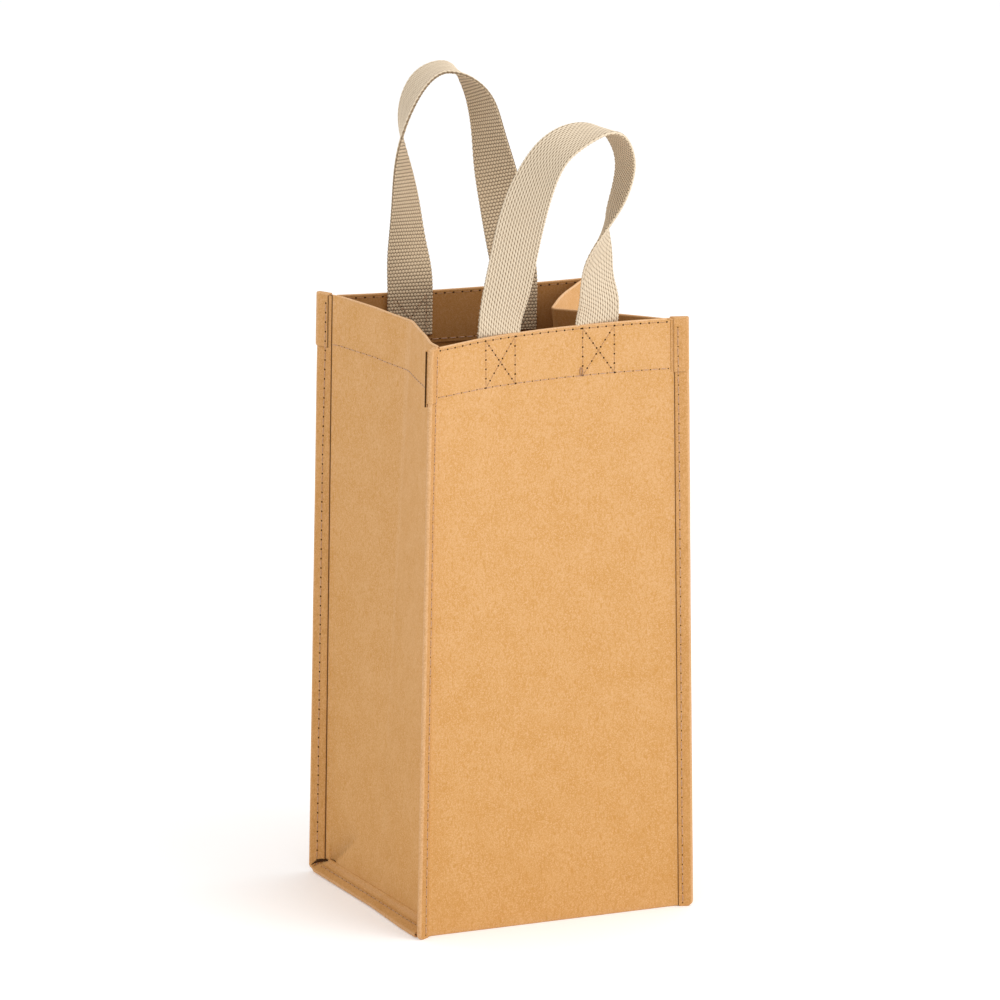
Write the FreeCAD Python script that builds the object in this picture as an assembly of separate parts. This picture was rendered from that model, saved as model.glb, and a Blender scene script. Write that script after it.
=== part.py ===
import FreeCAD, Part
import math
import os

os.makedirs("parts", exist_ok=True)

# Wine gift bag of sewn kraft sheet with two webbing handles, standing open.
# Millimetres and degrees. The origin is the middle of the base, on the floor.
# +X runs to the bag's right, +Y from the front panel to the back panel, +Z up.

# ---- the bag
BAG_HEIGHT = 330.0
BASE_WIDTH = 144.9
BASE_DEPTH = 138.0
SHEET = 0.8              # kraft sheet
TAPE = 0.5               # folded binding tape
THREAD = 0.3             # how far a thread stands on the sheet
THREAD_WIDTH = 0.6
HEM_DEPTH = 30.0
HEM_INSET = 8.0          # the hem stops this far from each corner seam

# ---- the mouth: the outer face of each corner and gusset crease at the rim
MOUTH = {
    "front_left": (-67.8, -69.0),
    "left_crease": (-55.0, -4.5),
    "rear_left": (-71.6, 62.6),
    "rear_right": (66.3, 33.9),
    "right_crease": (22.5, -19.5),
    "front_right": (69.2, -69.0),
}
FRONT_BOW = 7.5          # the rim curves in between its corners
BACK_BOW = 4.0

# ---- seams: both sheets turn outward at a corner inside a folded tape
FLANGE = 9.5             # width of the turned-out seam allowance
FRONT_LEG_START = 2.6    # the tape's leg on the panel side starts this far out
GUSSET_LEG_START = 0.6   # and on the gusset side this far out
CAP_HEIGHT = 30.0
GUSSET_SETBACK_LOW = 2.5
GUSSET_SETBACK_HIGH = 4.0

# ---- the seam along each side of the base
SIDE_SEAM_HEIGHT = 6.4
SIDE_FLANGE = 8.0
SIDE_FLANGE_DROP = 45.0  # the flange slants down to the floor by this angle
BASE_LIFT_WIDTH = 9.0    # the base rises to the side seam over this width
SIDE_BINDING_SETBACK = 2.6
SIDE_LEG_START = 3.0     # the tape's upper leg starts this far out
SIDE_STITCH = 4.0        # and its thread lies this far out
BASE_END_GAP = 1.4       # the base sheet ends this far inside the two panels
BASE_CORNER_TRIM = 1.2   # and its corners are cut in this far from each side seam

# ---- handles
STRAP_WIDTH = 25.0
STRAP_THICKNESS = 1.4
LEG_OFFSET = 29.0        # from the middle of the rim to the middle of a leg
SEWN_LENGTH = 28.0
LOOP_STATIONS = 36

# ---- stitching
RIM_ROW_DROP = 2.0
HEM_ROW_DROP = 28.0
BOX_WIDTH = 18.0
BOX_CLEARANCE = 0.6      # between a box of stitches and the two rows

# Each corner: the heading of its flange in plan, counted from +X towards +Y, the
# side of the heading on which the gusset lies, and how far out its thread runs.
CORNERS = {
    "front_left": {"heading": 219.0, "turn": -90.0, "stitch": 4.6},
    "front_right": {"heading": -20.0, "turn": 90.0, "stitch": 4.6},
    "rear_left": {"heading": 125.0, "turn": 90.0, "stitch": 5.0},
    "rear_right": {"heading": 38.0, "turn": -90.0, "stitch": 5.0},
}

# The free loop of each handle, leg to leg: distance along the rim from the left
# leg, height above the rim along the lean, and the strap's turn about its length.
FRONT_LOOP = [
    (0.0, 2.4, 0.0),
    (0.6, 24.0, 20.0),
    (1.8, 48.4, 31.2),
    (3.6, 74.3, 42.2),
    (8.5, 98.2, 59.4),
    (17.7, 116.0, 64.4),
    (31.8, 124.1, 58.8),
    (45.2, 124.4, 74.7),
    (54.8, 113.8, 84.5),
    (59.6, 97.3, 93.3),
    (57.9, 78.8, 100.1),
    (53.3, 60.5, 118.9),
    (52.6, 42.2, 146.9),
    (54.9, 22.6, 159.8),
    (57.6, 9.0, 176.0),
    (58.0, 2.4, 180.0),
]
REAR_LOOP = [
    (0.0, 2.4, 0.0),
    (-0.4, 21.8, 21.5),
    (-0.3, 43.9, 41.8),
    (-0.9, 67.1, 61.4),
    (0.4, 88.6, 84.6),
    (6.8, 106.0, 95.5),
    (17.0, 116.3, 93.9),
    (27.8, 117.8, 89.3),
    (36.3, 111.2, 105.0),
    (43.2, 99.9, 116.9),
    (46.9, 83.9, 122.9),
    (49.6, 64.9, 139.0),
    (52.9, 44.3, 155.5),
    (55.8, 23.3, 169.3),
    (58.0, 2.4, 180.0),
]
FRONT_LEAN = 19.0        # both loops lean away from the mouth
REAR_LEAN = 13.0

HALF_WIDTH = BASE_WIDTH / 2.0
HALF_DEPTH = BASE_DEPTH / 2.0
FOOT = {
    "front_left": (-HALF_WIDTH, -HALF_DEPTH),
    "left_crease": (-HALF_WIDTH, 0.0),
    "rear_left": (-HALF_WIDTH, HALF_DEPTH),
    "rear_right": (HALF_WIDTH, HALF_DEPTH),
    "right_crease": (HALF_WIDTH, 0.0),
    "front_right": (HALF_WIDTH, -HALF_DEPTH),
}


# ---------------------------------------------------------------- plan geometry

def add(point, step, length=1.0):
    return (point[0] + step[0] * length, point[1] + step[1] * length)


def between(low, high, share):
    return (low[0] + (high[0] - low[0]) * share, low[1] + (high[1] - low[1]) * share)


def heading(degrees):
    return (math.cos(math.radians(degrees)), math.sin(math.radians(degrees)))


def direction(start, end):
    length = math.hypot(end[0] - start[0], end[1] - start[1])
    return ((end[0] - start[0]) / length, (end[1] - start[1]) / length)


def left_of(step):
    return (-step[1], step[0])


def offset_line(points, distance):
    """The open line moved to its left by distance, with mitred corners."""
    normals = [left_of(direction(a, b)) for a, b in zip(points, points[1:])]
    moved = [add(points[0], normals[0], distance)]
    for point, before, after in zip(points[1:], normals, normals[1:]):
        spread = 1.0 + before[0] * after[0] + before[1] * after[1]
        mitre = (before[0] + after[0], before[1] + after[1])
        moved.append(add(point, mitre, distance / spread))
    moved.append(add(points[-1], normals[-1], distance))
    return moved


# ---------------------------------------------------------------- solids

def closed_wire(points, z, bows=None):
    """A closed outline at height z; bows maps an edge to its mid-point's shift."""
    corners = [FreeCAD.Vector(x, y, z) for x, y in points]
    edges = []
    for index, start in enumerate(corners):
        end = corners[(index + 1) % len(corners)]
        if bows and index in bows:
            middle = (start + end) * 0.5 + FreeCAD.Vector(*bows[index], 0.0)
            edges.append(Part.Arc(start, middle, end).toShape())
        else:
            edges.append(Part.LineSegment(start, end).toShape())
    return Part.Wire(edges)


def ruled(low_wire, high_wire):
    return Part.makeLoft([low_wire, high_wire], True, True)


def upright(outline, z_low, z_high):
    """Ruled solid between two heights; outline(z) gives matching plan points."""
    return ruled(closed_wire(outline(z_low), z_low), closed_wire(outline(z_high), z_high))


def along_y(profile, y_from, y_to):
    """A closed XZ profile carried along Y."""
    corners = [FreeCAD.Vector(x, y_from, z) for x, z in profile]
    face = Part.Face(Part.makePolygon(corners + corners[:1]))
    return face.extrude(FreeCAD.Vector(0, y_to - y_from, 0))


def save(shape, node):
    shape.exportStep("parts/" + node + ".step")


# ---------------------------------------------------------------- bowed panels

class Panel:
    """The front or back panel: straight at the floor, bowed inward at the rim."""

    def __init__(self, left, right, bow, inward_turn):
        self.left = left
        self.right = right
        self.bow = bow
        self.inward_turn = inward_turn
        self.rim_middle = between(MOUTH[left], MOUTH[right], 0.5)
        self.rim_heading = direction(MOUTH[left], MOUTH[right])
        self.rim_inward = self.inward(MOUTH)

    def inward(self, plan):
        normal = left_of(direction(plan[self.left], plan[self.right]))
        return (normal[0] * self.inward_turn, normal[1] * self.inward_turn)

    def bow_at(self, plan):
        return self.bow if plan is MOUTH else 0.0

    def layer(self, outer, inner):
        """A full-height sheet between two distances in from the outer face."""
        wires = []
        for plan, z in ((FOOT, 0.0), (MOUTH, BAG_HEIGHT)):
            inward = self.inward(plan)
            start, end = plan[self.left], plan[self.right]
            points = [add(start, inward, outer), add(end, inward, outer)]
            points += [add(end, inward, inner), add(start, inward, inner)]
            shift = (inward[0] * self.bow_at(plan), inward[1] * self.bow_at(plan))
            bows = {0: shift, 2: shift} if self.bow_at(plan) else None
            wires.append(closed_wire(points, z, bows))
        return ruled(*wires)

    def sheet_with_flanges(self):
        """The panel's own sheet, with the allowance turned outward at each side."""
        wires = []
        left_out = seam_axes(self.left)
        right_out = seam_axes(self.right)
        for plan, z in ((FOOT, 0.0), (MOUTH, BAG_HEIGHT)):
            inward = self.inward(plan)
            start, end = plan[self.left], plan[self.right]
            points = [add(start, left_out[0], FLANGE), start, end, add(end, right_out[0], FLANGE)]
            points.append(add(points[3], right_out[1], SHEET))
            points += [add(end, right_out[1], SHEET), add(end, inward, SHEET)]
            points += [add(start, inward, SHEET), add(start, left_out[1], SHEET)]
            points.append(add(points[0], left_out[1], SHEET))
            shift = (inward[0] * self.bow_at(plan), inward[1] * self.bow_at(plan))
            bows = {1: shift, 6: shift} if self.bow_at(plan) else None
            wires.append(closed_wire(points, z, bows))
        return ruled(*wires)

    def window(self, outline):
        """A prism through the panel; outline is (along the rim, height) points."""
        reach = 60.0
        start = add(self.rim_middle, self.rim_inward, -reach)
        corners = []
        for along, z in outline:
            point = add(start, self.rim_heading, along)
            corners.append(FreeCAD.Vector(point[0], point[1], z))
        face = Part.Face(Part.makePolygon(corners + corners[:1]))
        return face.extrude(FreeCAD.Vector(*self.rim_inward, 0.0) * (2.0 * reach))

    def patch(self, outer, inner, along_from, along_to, z_from, z_to):
        """The part of a layer inside a rectangle on the panel."""
        outline = [(along_from, z_from), (along_to, z_from), (along_to, z_to), (along_from, z_to)]
        return self.layer(outer, inner).common(self.window(outline))

    def rim_length(self):
        return math.dist(MOUTH[self.left], MOUTH[self.right])

    def rim_bow(self, along):
        """How far the rim lies in from its chord, at a distance from its middle."""
        return self.bow * (1.0 - (2.0 * along / self.rim_length()) ** 2)


# ---------------------------------------------------------------- corner seams

def seam_axes(corner):
    """Directions out along a corner's flange and across it to the gusset side."""
    angle = CORNERS[corner]["heading"]
    return heading(angle), heading(angle + CORNERS[corner]["turn"])


def seam_outline(corner, profile):
    """The plan outline of a flange profile, given as (out, across) points."""
    along_flange, to_gusset = seam_axes(corner)

    def outline(z):
        place = between(FOOT[corner], MOUTH[corner], z / BAG_HEIGHT)
        return [add(add(place, along_flange, out), to_gusset, across) for out, across in profile]
    return outline


def folded_tape(inner_from, inner_to, end, thickness, start_near, start_far):
    """A U profile around the span inner_from..inner_to, closed at its far end."""
    return [
        (start_near, inner_from - thickness),
        (end + thickness, inner_from - thickness),
        (end + thickness, inner_to + thickness),
        (start_far, inner_to + thickness),
        (start_far, inner_to),
        (end, inner_to),
        (end, inner_from),
        (start_near, inner_from),
    ]


def bar(out, width, across_from, across_to):
    return [
        (out - width / 2.0, across_from),
        (out + width / 2.0, across_from),
        (out + width / 2.0, across_to),
        (out - width / 2.0, across_to),
    ]


def corner_binding(corner):
    profile = folded_tape(0.0, 2.0 * SHEET, FLANGE, TAPE, FRONT_LEG_START, GUSSET_LEG_START)
    return upright(seam_outline(corner, profile), 0.0, BAG_HEIGHT)


def corner_allowance(corner):
    profile = bar(FLANGE / 2.0, FLANGE, SHEET, 2.0 * SHEET)
    return upright(seam_outline(corner, profile), 0.0, BAG_HEIGHT)


def corner_cap(corner):
    """The doubled tape over the top of a seam, closed over the rim."""
    near, far = -TAPE, 2.0 * SHEET + TAPE
    profile = folded_tape(near, far, FLANGE + TAPE, TAPE, FRONT_LEG_START, GUSSET_LEG_START)
    sleeve = upright(seam_outline(corner, profile), BAG_HEIGHT - CAP_HEIGHT, BAG_HEIGHT)
    start, end = FRONT_LEG_START, FLANGE + 2.0 * TAPE
    lid_profile = bar((start + end) / 2.0, end - start, near - TAPE, far + TAPE)
    lid_wire = closed_wire(seam_outline(corner, lid_profile)(BAG_HEIGHT), BAG_HEIGHT)
    lid = Part.Face(lid_wire).extrude(FreeCAD.Vector(0, 0, TAPE))
    return sleeve.fuse(lid).removeSplitter()


def corner_stitching(corner):
    """The seam's thread where it shows, on both legs of the binding."""
    faces = ((-TAPE - THREAD, -TAPE), (2.0 * SHEET + TAPE, 2.0 * SHEET + TAPE + THREAD))
    threads = []
    for low, high in faces:
        profile = bar(CORNERS[corner]["stitch"], THREAD_WIDTH, low, high)
        outline = seam_outline(corner, profile)
        threads.append(upright(outline, RIM_ROW_DROP, BAG_HEIGHT - CAP_HEIGHT - RIM_ROW_DROP))
    return Part.makeCompound(threads)


# ---------------------------------------------------------------- side gussets

class GussetHalf:
    """One half of a side gusset, from a corner seam to the middle crease."""

    def __init__(self, corner, crease, other_corner, interior_turn):
        self.corner = corner
        self.crease = crease
        self.other_corner = other_corner
        self.interior_turn = interior_turn

    def line(self, plan, setback, offset):
        """The corner end and the crease end of the half, offset to the inside."""
        corner, crease, other = plan[self.corner], plan[self.crease], plan[self.other_corner]
        start = add(corner, direction(corner, crease), setback)
        moved = offset_line([start, crease, other], offset * self.interior_turn)
        return moved[0], moved[1]

    def outline(self, outer, inner, inset):
        def at(z):
            points = []
            for offset, order in ((outer, (0, 1)), (inner, (1, 0))):
                low = self.line(FOOT, GUSSET_SETBACK_LOW + inset, offset)
                high = self.line(MOUTH, GUSSET_SETBACK_HIGH + inset, offset)
                points += [between(low[end], high[end], z / BAG_HEIGHT) for end in order]
            return points
        return at

    def layer(self, outer, inner, inset, z_from, z_to):
        return upright(self.outline(outer, inner, inset), z_from, z_to)


# ---------------------------------------------------------------- base seams

def side_seam_profile(side, profile):
    """XZ points of a side flange profile; side is -1 on the left, 1 on the right."""
    drop = math.radians(SIDE_FLANGE_DROP)
    points = []
    for out, across in profile:
        x = HALF_WIDTH + out * math.cos(drop) + across * math.sin(drop)
        z = SIDE_SEAM_HEIGHT - out * math.sin(drop) + across * math.cos(drop)
        points.append((side * x, z))
    return points


def bottom_panel():
    """The base sheet: flat on the floor, rising to the seam at each side."""
    tip, seam = side_seam_profile(1, [(SIDE_FLANGE, 0.0), (0.0, 0.0)])
    half = [tip, seam, (HALF_WIDTH - BASE_LIFT_WIDTH, 0.0)]
    under = [(-x, z) for x, z in half] + half[::-1]
    profile = under + offset_line(under, SHEET)[::-1]
    reach = HALF_DEPTH - SHEET - BASE_END_GAP
    return along_y(profile, -reach, reach).cut(corner_blocks())


def corner_blocks():
    """Blocks that clear the base sheet from the four corner seams."""
    size = 20.0
    x_near = HALF_WIDTH - BASE_CORNER_TRIM
    y_near = HALF_DEPTH - SIDE_BINDING_SETBACK
    blocks = []
    for x_low in (x_near, -x_near - size):
        for y_low in (y_near, -y_near - size):
            block = Part.makeBox(size, size, size)
            block.translate(FreeCAD.Vector(x_low, y_low, -size / 2.0))
            blocks.append(block)
    return blocks


def side_strip(side, profile):
    """A strip along a side seam, clear of the corner seams at both ends."""
    reach = HALF_DEPTH - SIDE_BINDING_SETBACK
    return along_y(side_seam_profile(side, profile), -reach, reach)


def side_binding(side):
    profile = folded_tape(0.0, 2.0 * SHEET, SIDE_FLANGE, TAPE, GUSSET_LEG_START, SIDE_LEG_START)
    return side_strip(side, profile)


def side_allowance(side):
    return side_strip(side, bar(SIDE_FLANGE / 2.0, SIDE_FLANGE, SHEET, 2.0 * SHEET))


def side_stitching(side):
    outer_face = 2.0 * SHEET + TAPE
    return side_strip(side, bar(SIDE_STITCH, THREAD_WIDTH, outer_face, outer_face + THREAD))


# ---------------------------------------------------------------- handles

def strap_section(centre, across, face):
    """A rectangular cross-section of the webbing."""
    wide = across * (STRAP_WIDTH / 2.0)
    thick = face * (STRAP_THICKNESS / 2.0)
    corners = [centre - wide - thick, centre + wide - thick]
    corners += [centre + wide + thick, centre - wide + thick]
    return Part.makePolygon(corners + corners[:1])


def handle_loop(panel, loop, lean):
    """The free webbing between the two legs, a flat strap turned on its way."""
    along = FreeCAD.Vector(*panel.rim_heading, 0.0)
    outward = FreeCAD.Vector(*panel.rim_inward, 0.0) * -1.0
    lift = outward * math.sin(math.radians(lean))
    lift.z = math.cos(math.radians(lean))
    depth = panel.rim_bow(LEG_OFFSET) + 2.0 * SHEET + STRAP_THICKNESS / 2.0
    root = add(add(panel.rim_middle, panel.rim_heading, -LEG_OFFSET), panel.rim_inward, depth)
    origin = FreeCAD.Vector(root[0], root[1], BAG_HEIGHT)

    points = [origin + along * step + lift * rise for step, rise, _ in loop]
    route = Part.BSplineCurve()
    route.interpolate(points)
    places = [route.parameter(point) for point in points]
    turns = [FreeCAD.Vector(turn, place, 0) for (_, _, turn), place in zip(loop, places)]
    twist = Part.BSplineCurve()
    twist.interpolate(Points=turns, Parameters=places)

    sections = []
    for station in range(LOOP_STATIONS + 1):
        share = station / LOOP_STATIONS
        place = route.FirstParameter + share * (route.LastParameter - route.FirstParameter)
        tangent = route.tangent(place)[0]
        turn = math.radians(twist.value(place).x)
        across = along * math.cos(turn) + outward * math.sin(turn)
        across = (across - tangent * across.dot(tangent)).normalize()
        sections.append(strap_section(route.value(place), across, tangent.cross(across)))
    return Part.makeLoft(sections, True, False)


def sewn_end(panel, side):
    """The end of a leg, sewn flat against the inside of the hem."""
    middle = side * LEG_OFFSET
    near, far = middle - STRAP_WIDTH / 2.0, middle + STRAP_WIDTH / 2.0
    inner_face = 2.0 * SHEET
    low = BAG_HEIGHT - SEWN_LENGTH
    return panel.patch(inner_face, inner_face + STRAP_THICKNESS, near, far, low, BAG_HEIGHT)


# ---------------------------------------------------------------- stitching

def stitch_row(panel, drop):
    """A thread along the whole panel, at a distance below the rim."""
    reach = panel.rim_length() / 2.0
    z = BAG_HEIGHT - drop
    half = THREAD_WIDTH / 2.0
    return panel.patch(-THREAD, 0.0, -reach, reach, z - half, z + half)


def stitch_box(panel, side):
    """The boxed cross of stitches that holds one leg of a handle."""
    middle = side * LEG_OFFSET
    left, right = middle - BOX_WIDTH / 2.0, middle + BOX_WIDTH / 2.0
    top = BAG_HEIGHT - RIM_ROW_DROP - BOX_CLEARANCE
    bottom = BAG_HEIGHT - HEM_ROW_DROP + BOX_CLEARANCE
    lines = [
        ((left, bottom), (left, top)),
        ((right, bottom), (right, top)),
        ((left, bottom), (right, top)),
        ((right, bottom), (left, top)),
    ]
    prisms = []
    for start, end in lines:
        sideways = left_of(direction(start, end))
        half = THREAD_WIDTH / 2.0
        outline = [add(start, sideways, half), add(start, sideways, -half)]
        outline += [add(end, sideways, -half), add(end, sideways, half)]
        prisms.append(panel.window(outline))
    cross = prisms[0].fuse(prisms[1:])
    return panel.layer(-THREAD, 0.0).common(cross)


def gusset_stitching(halves):
    z = BAG_HEIGHT - HEM_ROW_DROP
    half = THREAD_WIDTH / 2.0
    return Part.makeCompound([piece.layer(-THREAD, 0.0, 0.0, z - half, z + half) for piece in halves])


# ---------------------------------------------------------------- the assembly

front = Panel("front_left", "front_right", FRONT_BOW, 1)
back = Panel("rear_left", "rear_right", BACK_BOW, -1)

for name, panel in (("front", front), ("back", back)):
    reach = panel.rim_length() / 2.0 - HEM_INSET
    hem_low = BAG_HEIGHT - HEM_DEPTH
    save(panel.sheet_with_flanges(), name + "_panel")
    save(panel.patch(SHEET, 2.0 * SHEET, -reach, reach, hem_low, BAG_HEIGHT), name + "_hem")
    save(stitch_row(panel, RIM_ROW_DROP), name + "_rim_stitching")
    save(stitch_row(panel, HEM_ROW_DROP), name + "_hem_stitching")
    for side, side_name in ((-1, "left"), (1, "right")):
        save(sewn_end(panel, side), name + "_handle_" + side_name + "_end")
        save(stitch_box(panel, side), name + "_" + side_name + "_stitch_box")

save(handle_loop(front, FRONT_LOOP, FRONT_LEAN), "front_handle_loop")
save(handle_loop(back, REAR_LOOP, REAR_LEAN), "back_handle_loop")

for corner in CORNERS:
    save(corner_binding(corner), corner + "_binding")
    save(corner_allowance(corner), corner + "_gusset_allowance")
    save(corner_cap(corner), corner + "_cap")
    save(corner_stitching(corner), corner + "_binding_stitching")

gusset_foot = SIDE_SEAM_HEIGHT + 2.0 * SHEET
for side, name, interior_turn in ((-1, "left", -1), (1, "right", 1)):
    front_half = GussetHalf("front_" + name, name + "_crease", "rear_" + name, interior_turn)
    rear_half = GussetHalf("rear_" + name, name + "_crease", "front_" + name, -interior_turn)
    hem_low = BAG_HEIGHT - HEM_DEPTH
    for part_name, half in (("front", front_half), ("rear", rear_half)):
        node = name + "_gusset_" + part_name
        save(half.layer(0.0, SHEET, 0.0, gusset_foot, BAG_HEIGHT), node + "_half")
        save(half.layer(SHEET, 2.0 * SHEET, HEM_INSET, hem_low, BAG_HEIGHT), node + "_hem")
    save(gusset_stitching((front_half, rear_half)), name + "_gusset_hem_stitching")
    save(side_binding(side), name + "_bottom_binding")
    save(side_allowance(side), name + "_gusset_bottom_allowance")
    save(side_stitching(side), name + "_bottom_binding_stitching")

save(bottom_panel(), "bottom_panel")
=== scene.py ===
import math

import bpy
import numpy as np
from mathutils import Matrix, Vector, noise


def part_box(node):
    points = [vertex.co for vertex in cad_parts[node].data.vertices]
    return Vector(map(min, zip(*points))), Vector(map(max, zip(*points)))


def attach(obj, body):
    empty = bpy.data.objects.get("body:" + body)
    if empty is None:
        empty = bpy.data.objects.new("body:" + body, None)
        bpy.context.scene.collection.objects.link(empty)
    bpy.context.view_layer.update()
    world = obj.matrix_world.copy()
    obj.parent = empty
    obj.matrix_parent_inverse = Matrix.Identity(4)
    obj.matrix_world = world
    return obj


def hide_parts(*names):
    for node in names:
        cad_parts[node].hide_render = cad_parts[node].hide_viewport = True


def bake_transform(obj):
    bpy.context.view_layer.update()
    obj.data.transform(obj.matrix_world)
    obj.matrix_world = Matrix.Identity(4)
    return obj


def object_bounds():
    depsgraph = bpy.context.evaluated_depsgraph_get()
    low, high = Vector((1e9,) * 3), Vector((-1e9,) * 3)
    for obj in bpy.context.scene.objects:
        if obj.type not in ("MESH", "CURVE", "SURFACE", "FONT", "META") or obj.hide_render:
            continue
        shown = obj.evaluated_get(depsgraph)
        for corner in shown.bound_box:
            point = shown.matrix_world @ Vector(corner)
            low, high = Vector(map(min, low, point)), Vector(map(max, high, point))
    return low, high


# Looks of a wine gift bag: kraft sheets, bound seams, thread and webbing handles.
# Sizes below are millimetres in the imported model's frame; meshes are made in metres.

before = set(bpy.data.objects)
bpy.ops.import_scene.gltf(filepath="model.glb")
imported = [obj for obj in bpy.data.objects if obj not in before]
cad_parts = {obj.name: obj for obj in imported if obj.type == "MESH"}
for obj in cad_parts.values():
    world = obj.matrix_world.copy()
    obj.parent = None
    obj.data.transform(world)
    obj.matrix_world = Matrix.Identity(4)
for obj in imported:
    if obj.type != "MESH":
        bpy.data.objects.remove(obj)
CAD_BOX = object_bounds()
MM = 0.001


def top_of(node):
    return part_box(node)[1] / MM


# ---- the bag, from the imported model
BAG_HEIGHT = top_of("front_hem").z
BASE_SETBACK = 2.2       # the base sheet ends this far inside the front panel's face
FRONT_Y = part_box("bottom_panel")[0].y / MM - BASE_SETBACK
BASE_HALF_WIDTH = 72.45
SHEET = 0.8
TAPE = 0.5
FLANGE = 9.5
CAP_HEIGHT = 30.0
CAP_GAP_REACH = 9.6      # how far out the opening beside the front left cap is seen
HEM_DEPTH = 30.0
HEM_MARGIN = 1.2         # a panel's hem stops this far from its corners
RIM_ROW_DROP = 2.0
HEM_ROW_DROP = 28.0

FOOT = {
    "front_left": (-BASE_HALF_WIDTH, FRONT_Y),
    "left_crease": (-BASE_HALF_WIDTH, 0.0),
    "rear_left": (-BASE_HALF_WIDTH, -FRONT_Y),
    "rear_right": (BASE_HALF_WIDTH, -FRONT_Y),
    "right_crease": (BASE_HALF_WIDTH, 0.0),
    "front_right": (BASE_HALF_WIDTH, FRONT_Y),
}
MOUTH = {
    "front_left": (-67.8, -69.0),
    "left_crease": (-55.0, -4.5),
    "rear_left": (-70.1, 62.6),
    "rear_right": (66.3, 33.9),
    "right_crease": (22.5, -19.5),
    "front_right": (69.2, -69.0),
}
# heading: which way the flange points, at the foot and at the rim
# turn: from the heading round to the gusset's side
# stitch: how far out the seam is sewn, and by how much less under the cap
# grooves: how dark the painted shadow is along the tape's edges, on the panel's side and on the gusset's
# cap: how far the cap stands proud; cap_leg: where its leg starts on the gusset's side
# cap_line: how dark the painted shadow is along that leg's edge
# foot: how high the tape's lower end is, at the fold and at its outer edge
CORNERS = {
    "front_left": {
        "heading": (210.0, 228.0), "turn": -90.0, "stitch": (5.0, 1.8), "body": "front_panel",
        "grooves": (0.22, 0.6), "cap": 0.5, "cap_leg": 0.2, "cap_line": 0.0, "foot": (0.0, 0.0)},
    "front_right": {
        "heading": (-20.0, -20.0), "turn": 90.0, "stitch": (4.6, 0.3), "body": "front_panel",
        "grooves": (0.9, 0.6), "cap": 0.05, "cap_leg": 0.2, "cap_line": 0.0, "foot": (0.0, 0.0)},
    "rear_left": {
        "heading": (130.0, 119.0), "turn": 90.0, "stitch": (5.0, 1.0), "body": "back_panel",
        "grooves": (0.6, 0.95), "cap": 0.8, "cap_leg": 2.3, "cap_line": 0.8, "foot": (7.4, 1.5)},
    "rear_right": {
        "heading": (38.0, 38.0), "turn": -90.0, "stitch": (5.0, 0.0), "body": "back_panel",
        "grooves": (0.6, 0.8), "cap": 0.6, "cap_leg": 2.3, "cap_line": 0.8, "foot": (7.4, 1.5)},
}
FRONT_BOW = 7.5
BACK_BOW = 4.0
FOLD_REACH = 1.4         # a corner fold is rounded over this distance
FRONT_LEG_START = 2.6    # the tape's leg on the panel side
GUSSET_LEG_START = 0.6   # and on the gusset side
REAR_LEFT_DROP = 3.2     # the rim sinks a little towards the back
REAR_RIGHT_DROP = 1.6
RIM_DIPS = (("front_left", 1.4, 22.0), ("left_crease", 1.7, 42.0))  # place, depth, reach
SHOULDER_PLACE = 0.87    # where the front left side bends most, from crease to corner
SHOULDER_ROUNDING = 0.35
FOLD_SHARES = (0.2, 0.4, 0.6, 0.8)
SHEET_COLUMNS = 73       # points across a panel
ROW_STEP = 5.5           # and between its rows
TAPE_STEP = 1.35         # length of one section of tape

# ---- the seam along each side of the base
SIDE_SEAM_HEIGHT = 6.4
SIDE_FLANGE = 8.0
SIDE_FLANGE_DROP = 45.0
SIDE_LEG_START = 3.0
SIDE_STITCH = 4.0
SIDE_REACH = 67.6
SIDE_REAR_REACH = 74.5   # the tape's rear end is tucked under the corner seam
SIDE_FOOT_REACH = SIDE_REAR_REACH - 3.0  # the sheet inside it ends sooner
GUSSET_FOOT = 8.6        # the gusset turns outward below this height

# ---- handles
STRAP_WIDTH = 25.0
STRAP_THICKNESS = 1.4
LEG_OFFSET = 29.0
SEWN_DROPS = (27.4, 19.0, 10.0, 3.5)  # places along a sewn end, below the rim
FRONT_LEAN = 19.0
REAR_LEAN = 13.0
FRONT_LOOP = [
    (0.0, 2.4, 0.0), (0.6, 24.0, 20.0), (1.8, 48.4, 31.2), (3.6, 74.3, 42.2),
    (8.5, 98.2, 59.4), (17.7, 116.0, 64.4), (31.8, 124.1, 58.8), (45.2, 124.4, 74.7),
    (54.8, 113.8, 84.5), (59.6, 97.3, 93.3), (57.9, 78.8, 100.1), (53.3, 60.5, 118.9),
    (52.6, 42.2, 146.9), (54.9, 22.6, 159.8), (57.6, 9.0, 176.0),
    (58.0, 2.4, 180.0),
]
REAR_LOOP = [
    (0.0, 2.4, 0.0), (-0.4, 21.8, 21.5), (-0.3, 43.9, 41.8), (-0.9, 67.1, 61.4),
    (0.4, 88.6, 84.6), (6.8, 106.0, 95.5), (17.0, 116.3, 93.9), (27.8, 117.8, 89.3),
    (36.3, 111.2, 105.0), (43.2, 99.9, 116.9), (46.9, 83.9, 122.9), (49.6, 64.9, 139.0),
    (52.9, 44.3, 155.5), (55.8, 23.3, 169.3), (58.0, 2.4, 180.0),
]
RIBS = 14                # warp ribs across the webbing
PICK = 1.86              # length of one float along it
FINE_RIBS = 1.25         # ribs of the outer face to each rib of the inner one
FLOAT_LENGTH = 3.0       # and the length of its floats
FLOAT_SLANT = 0.5
WEAVE_HEIGHT = 0.3
OUTER_SHARES = (1.0, 0.6)    # how deep the gaps are between ribs and between rows
INNER_SHARES = (1.0, 1.0)

# ---- thread
THREAD_RADIUS = 0.2
FINE_THREAD_RADIUS = 0.13
HOLE_RADIUS = 0.5
ROW_PITCH = 4.8
SEAM_PITCH = 5.4
BOX_WIDTH = 18.0
HEM_FACE = 1.66          # depth of the hem's inner face inside the panel's outer face
STRAP_FACE = 3.25        # and of the strap's inner face

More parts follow.
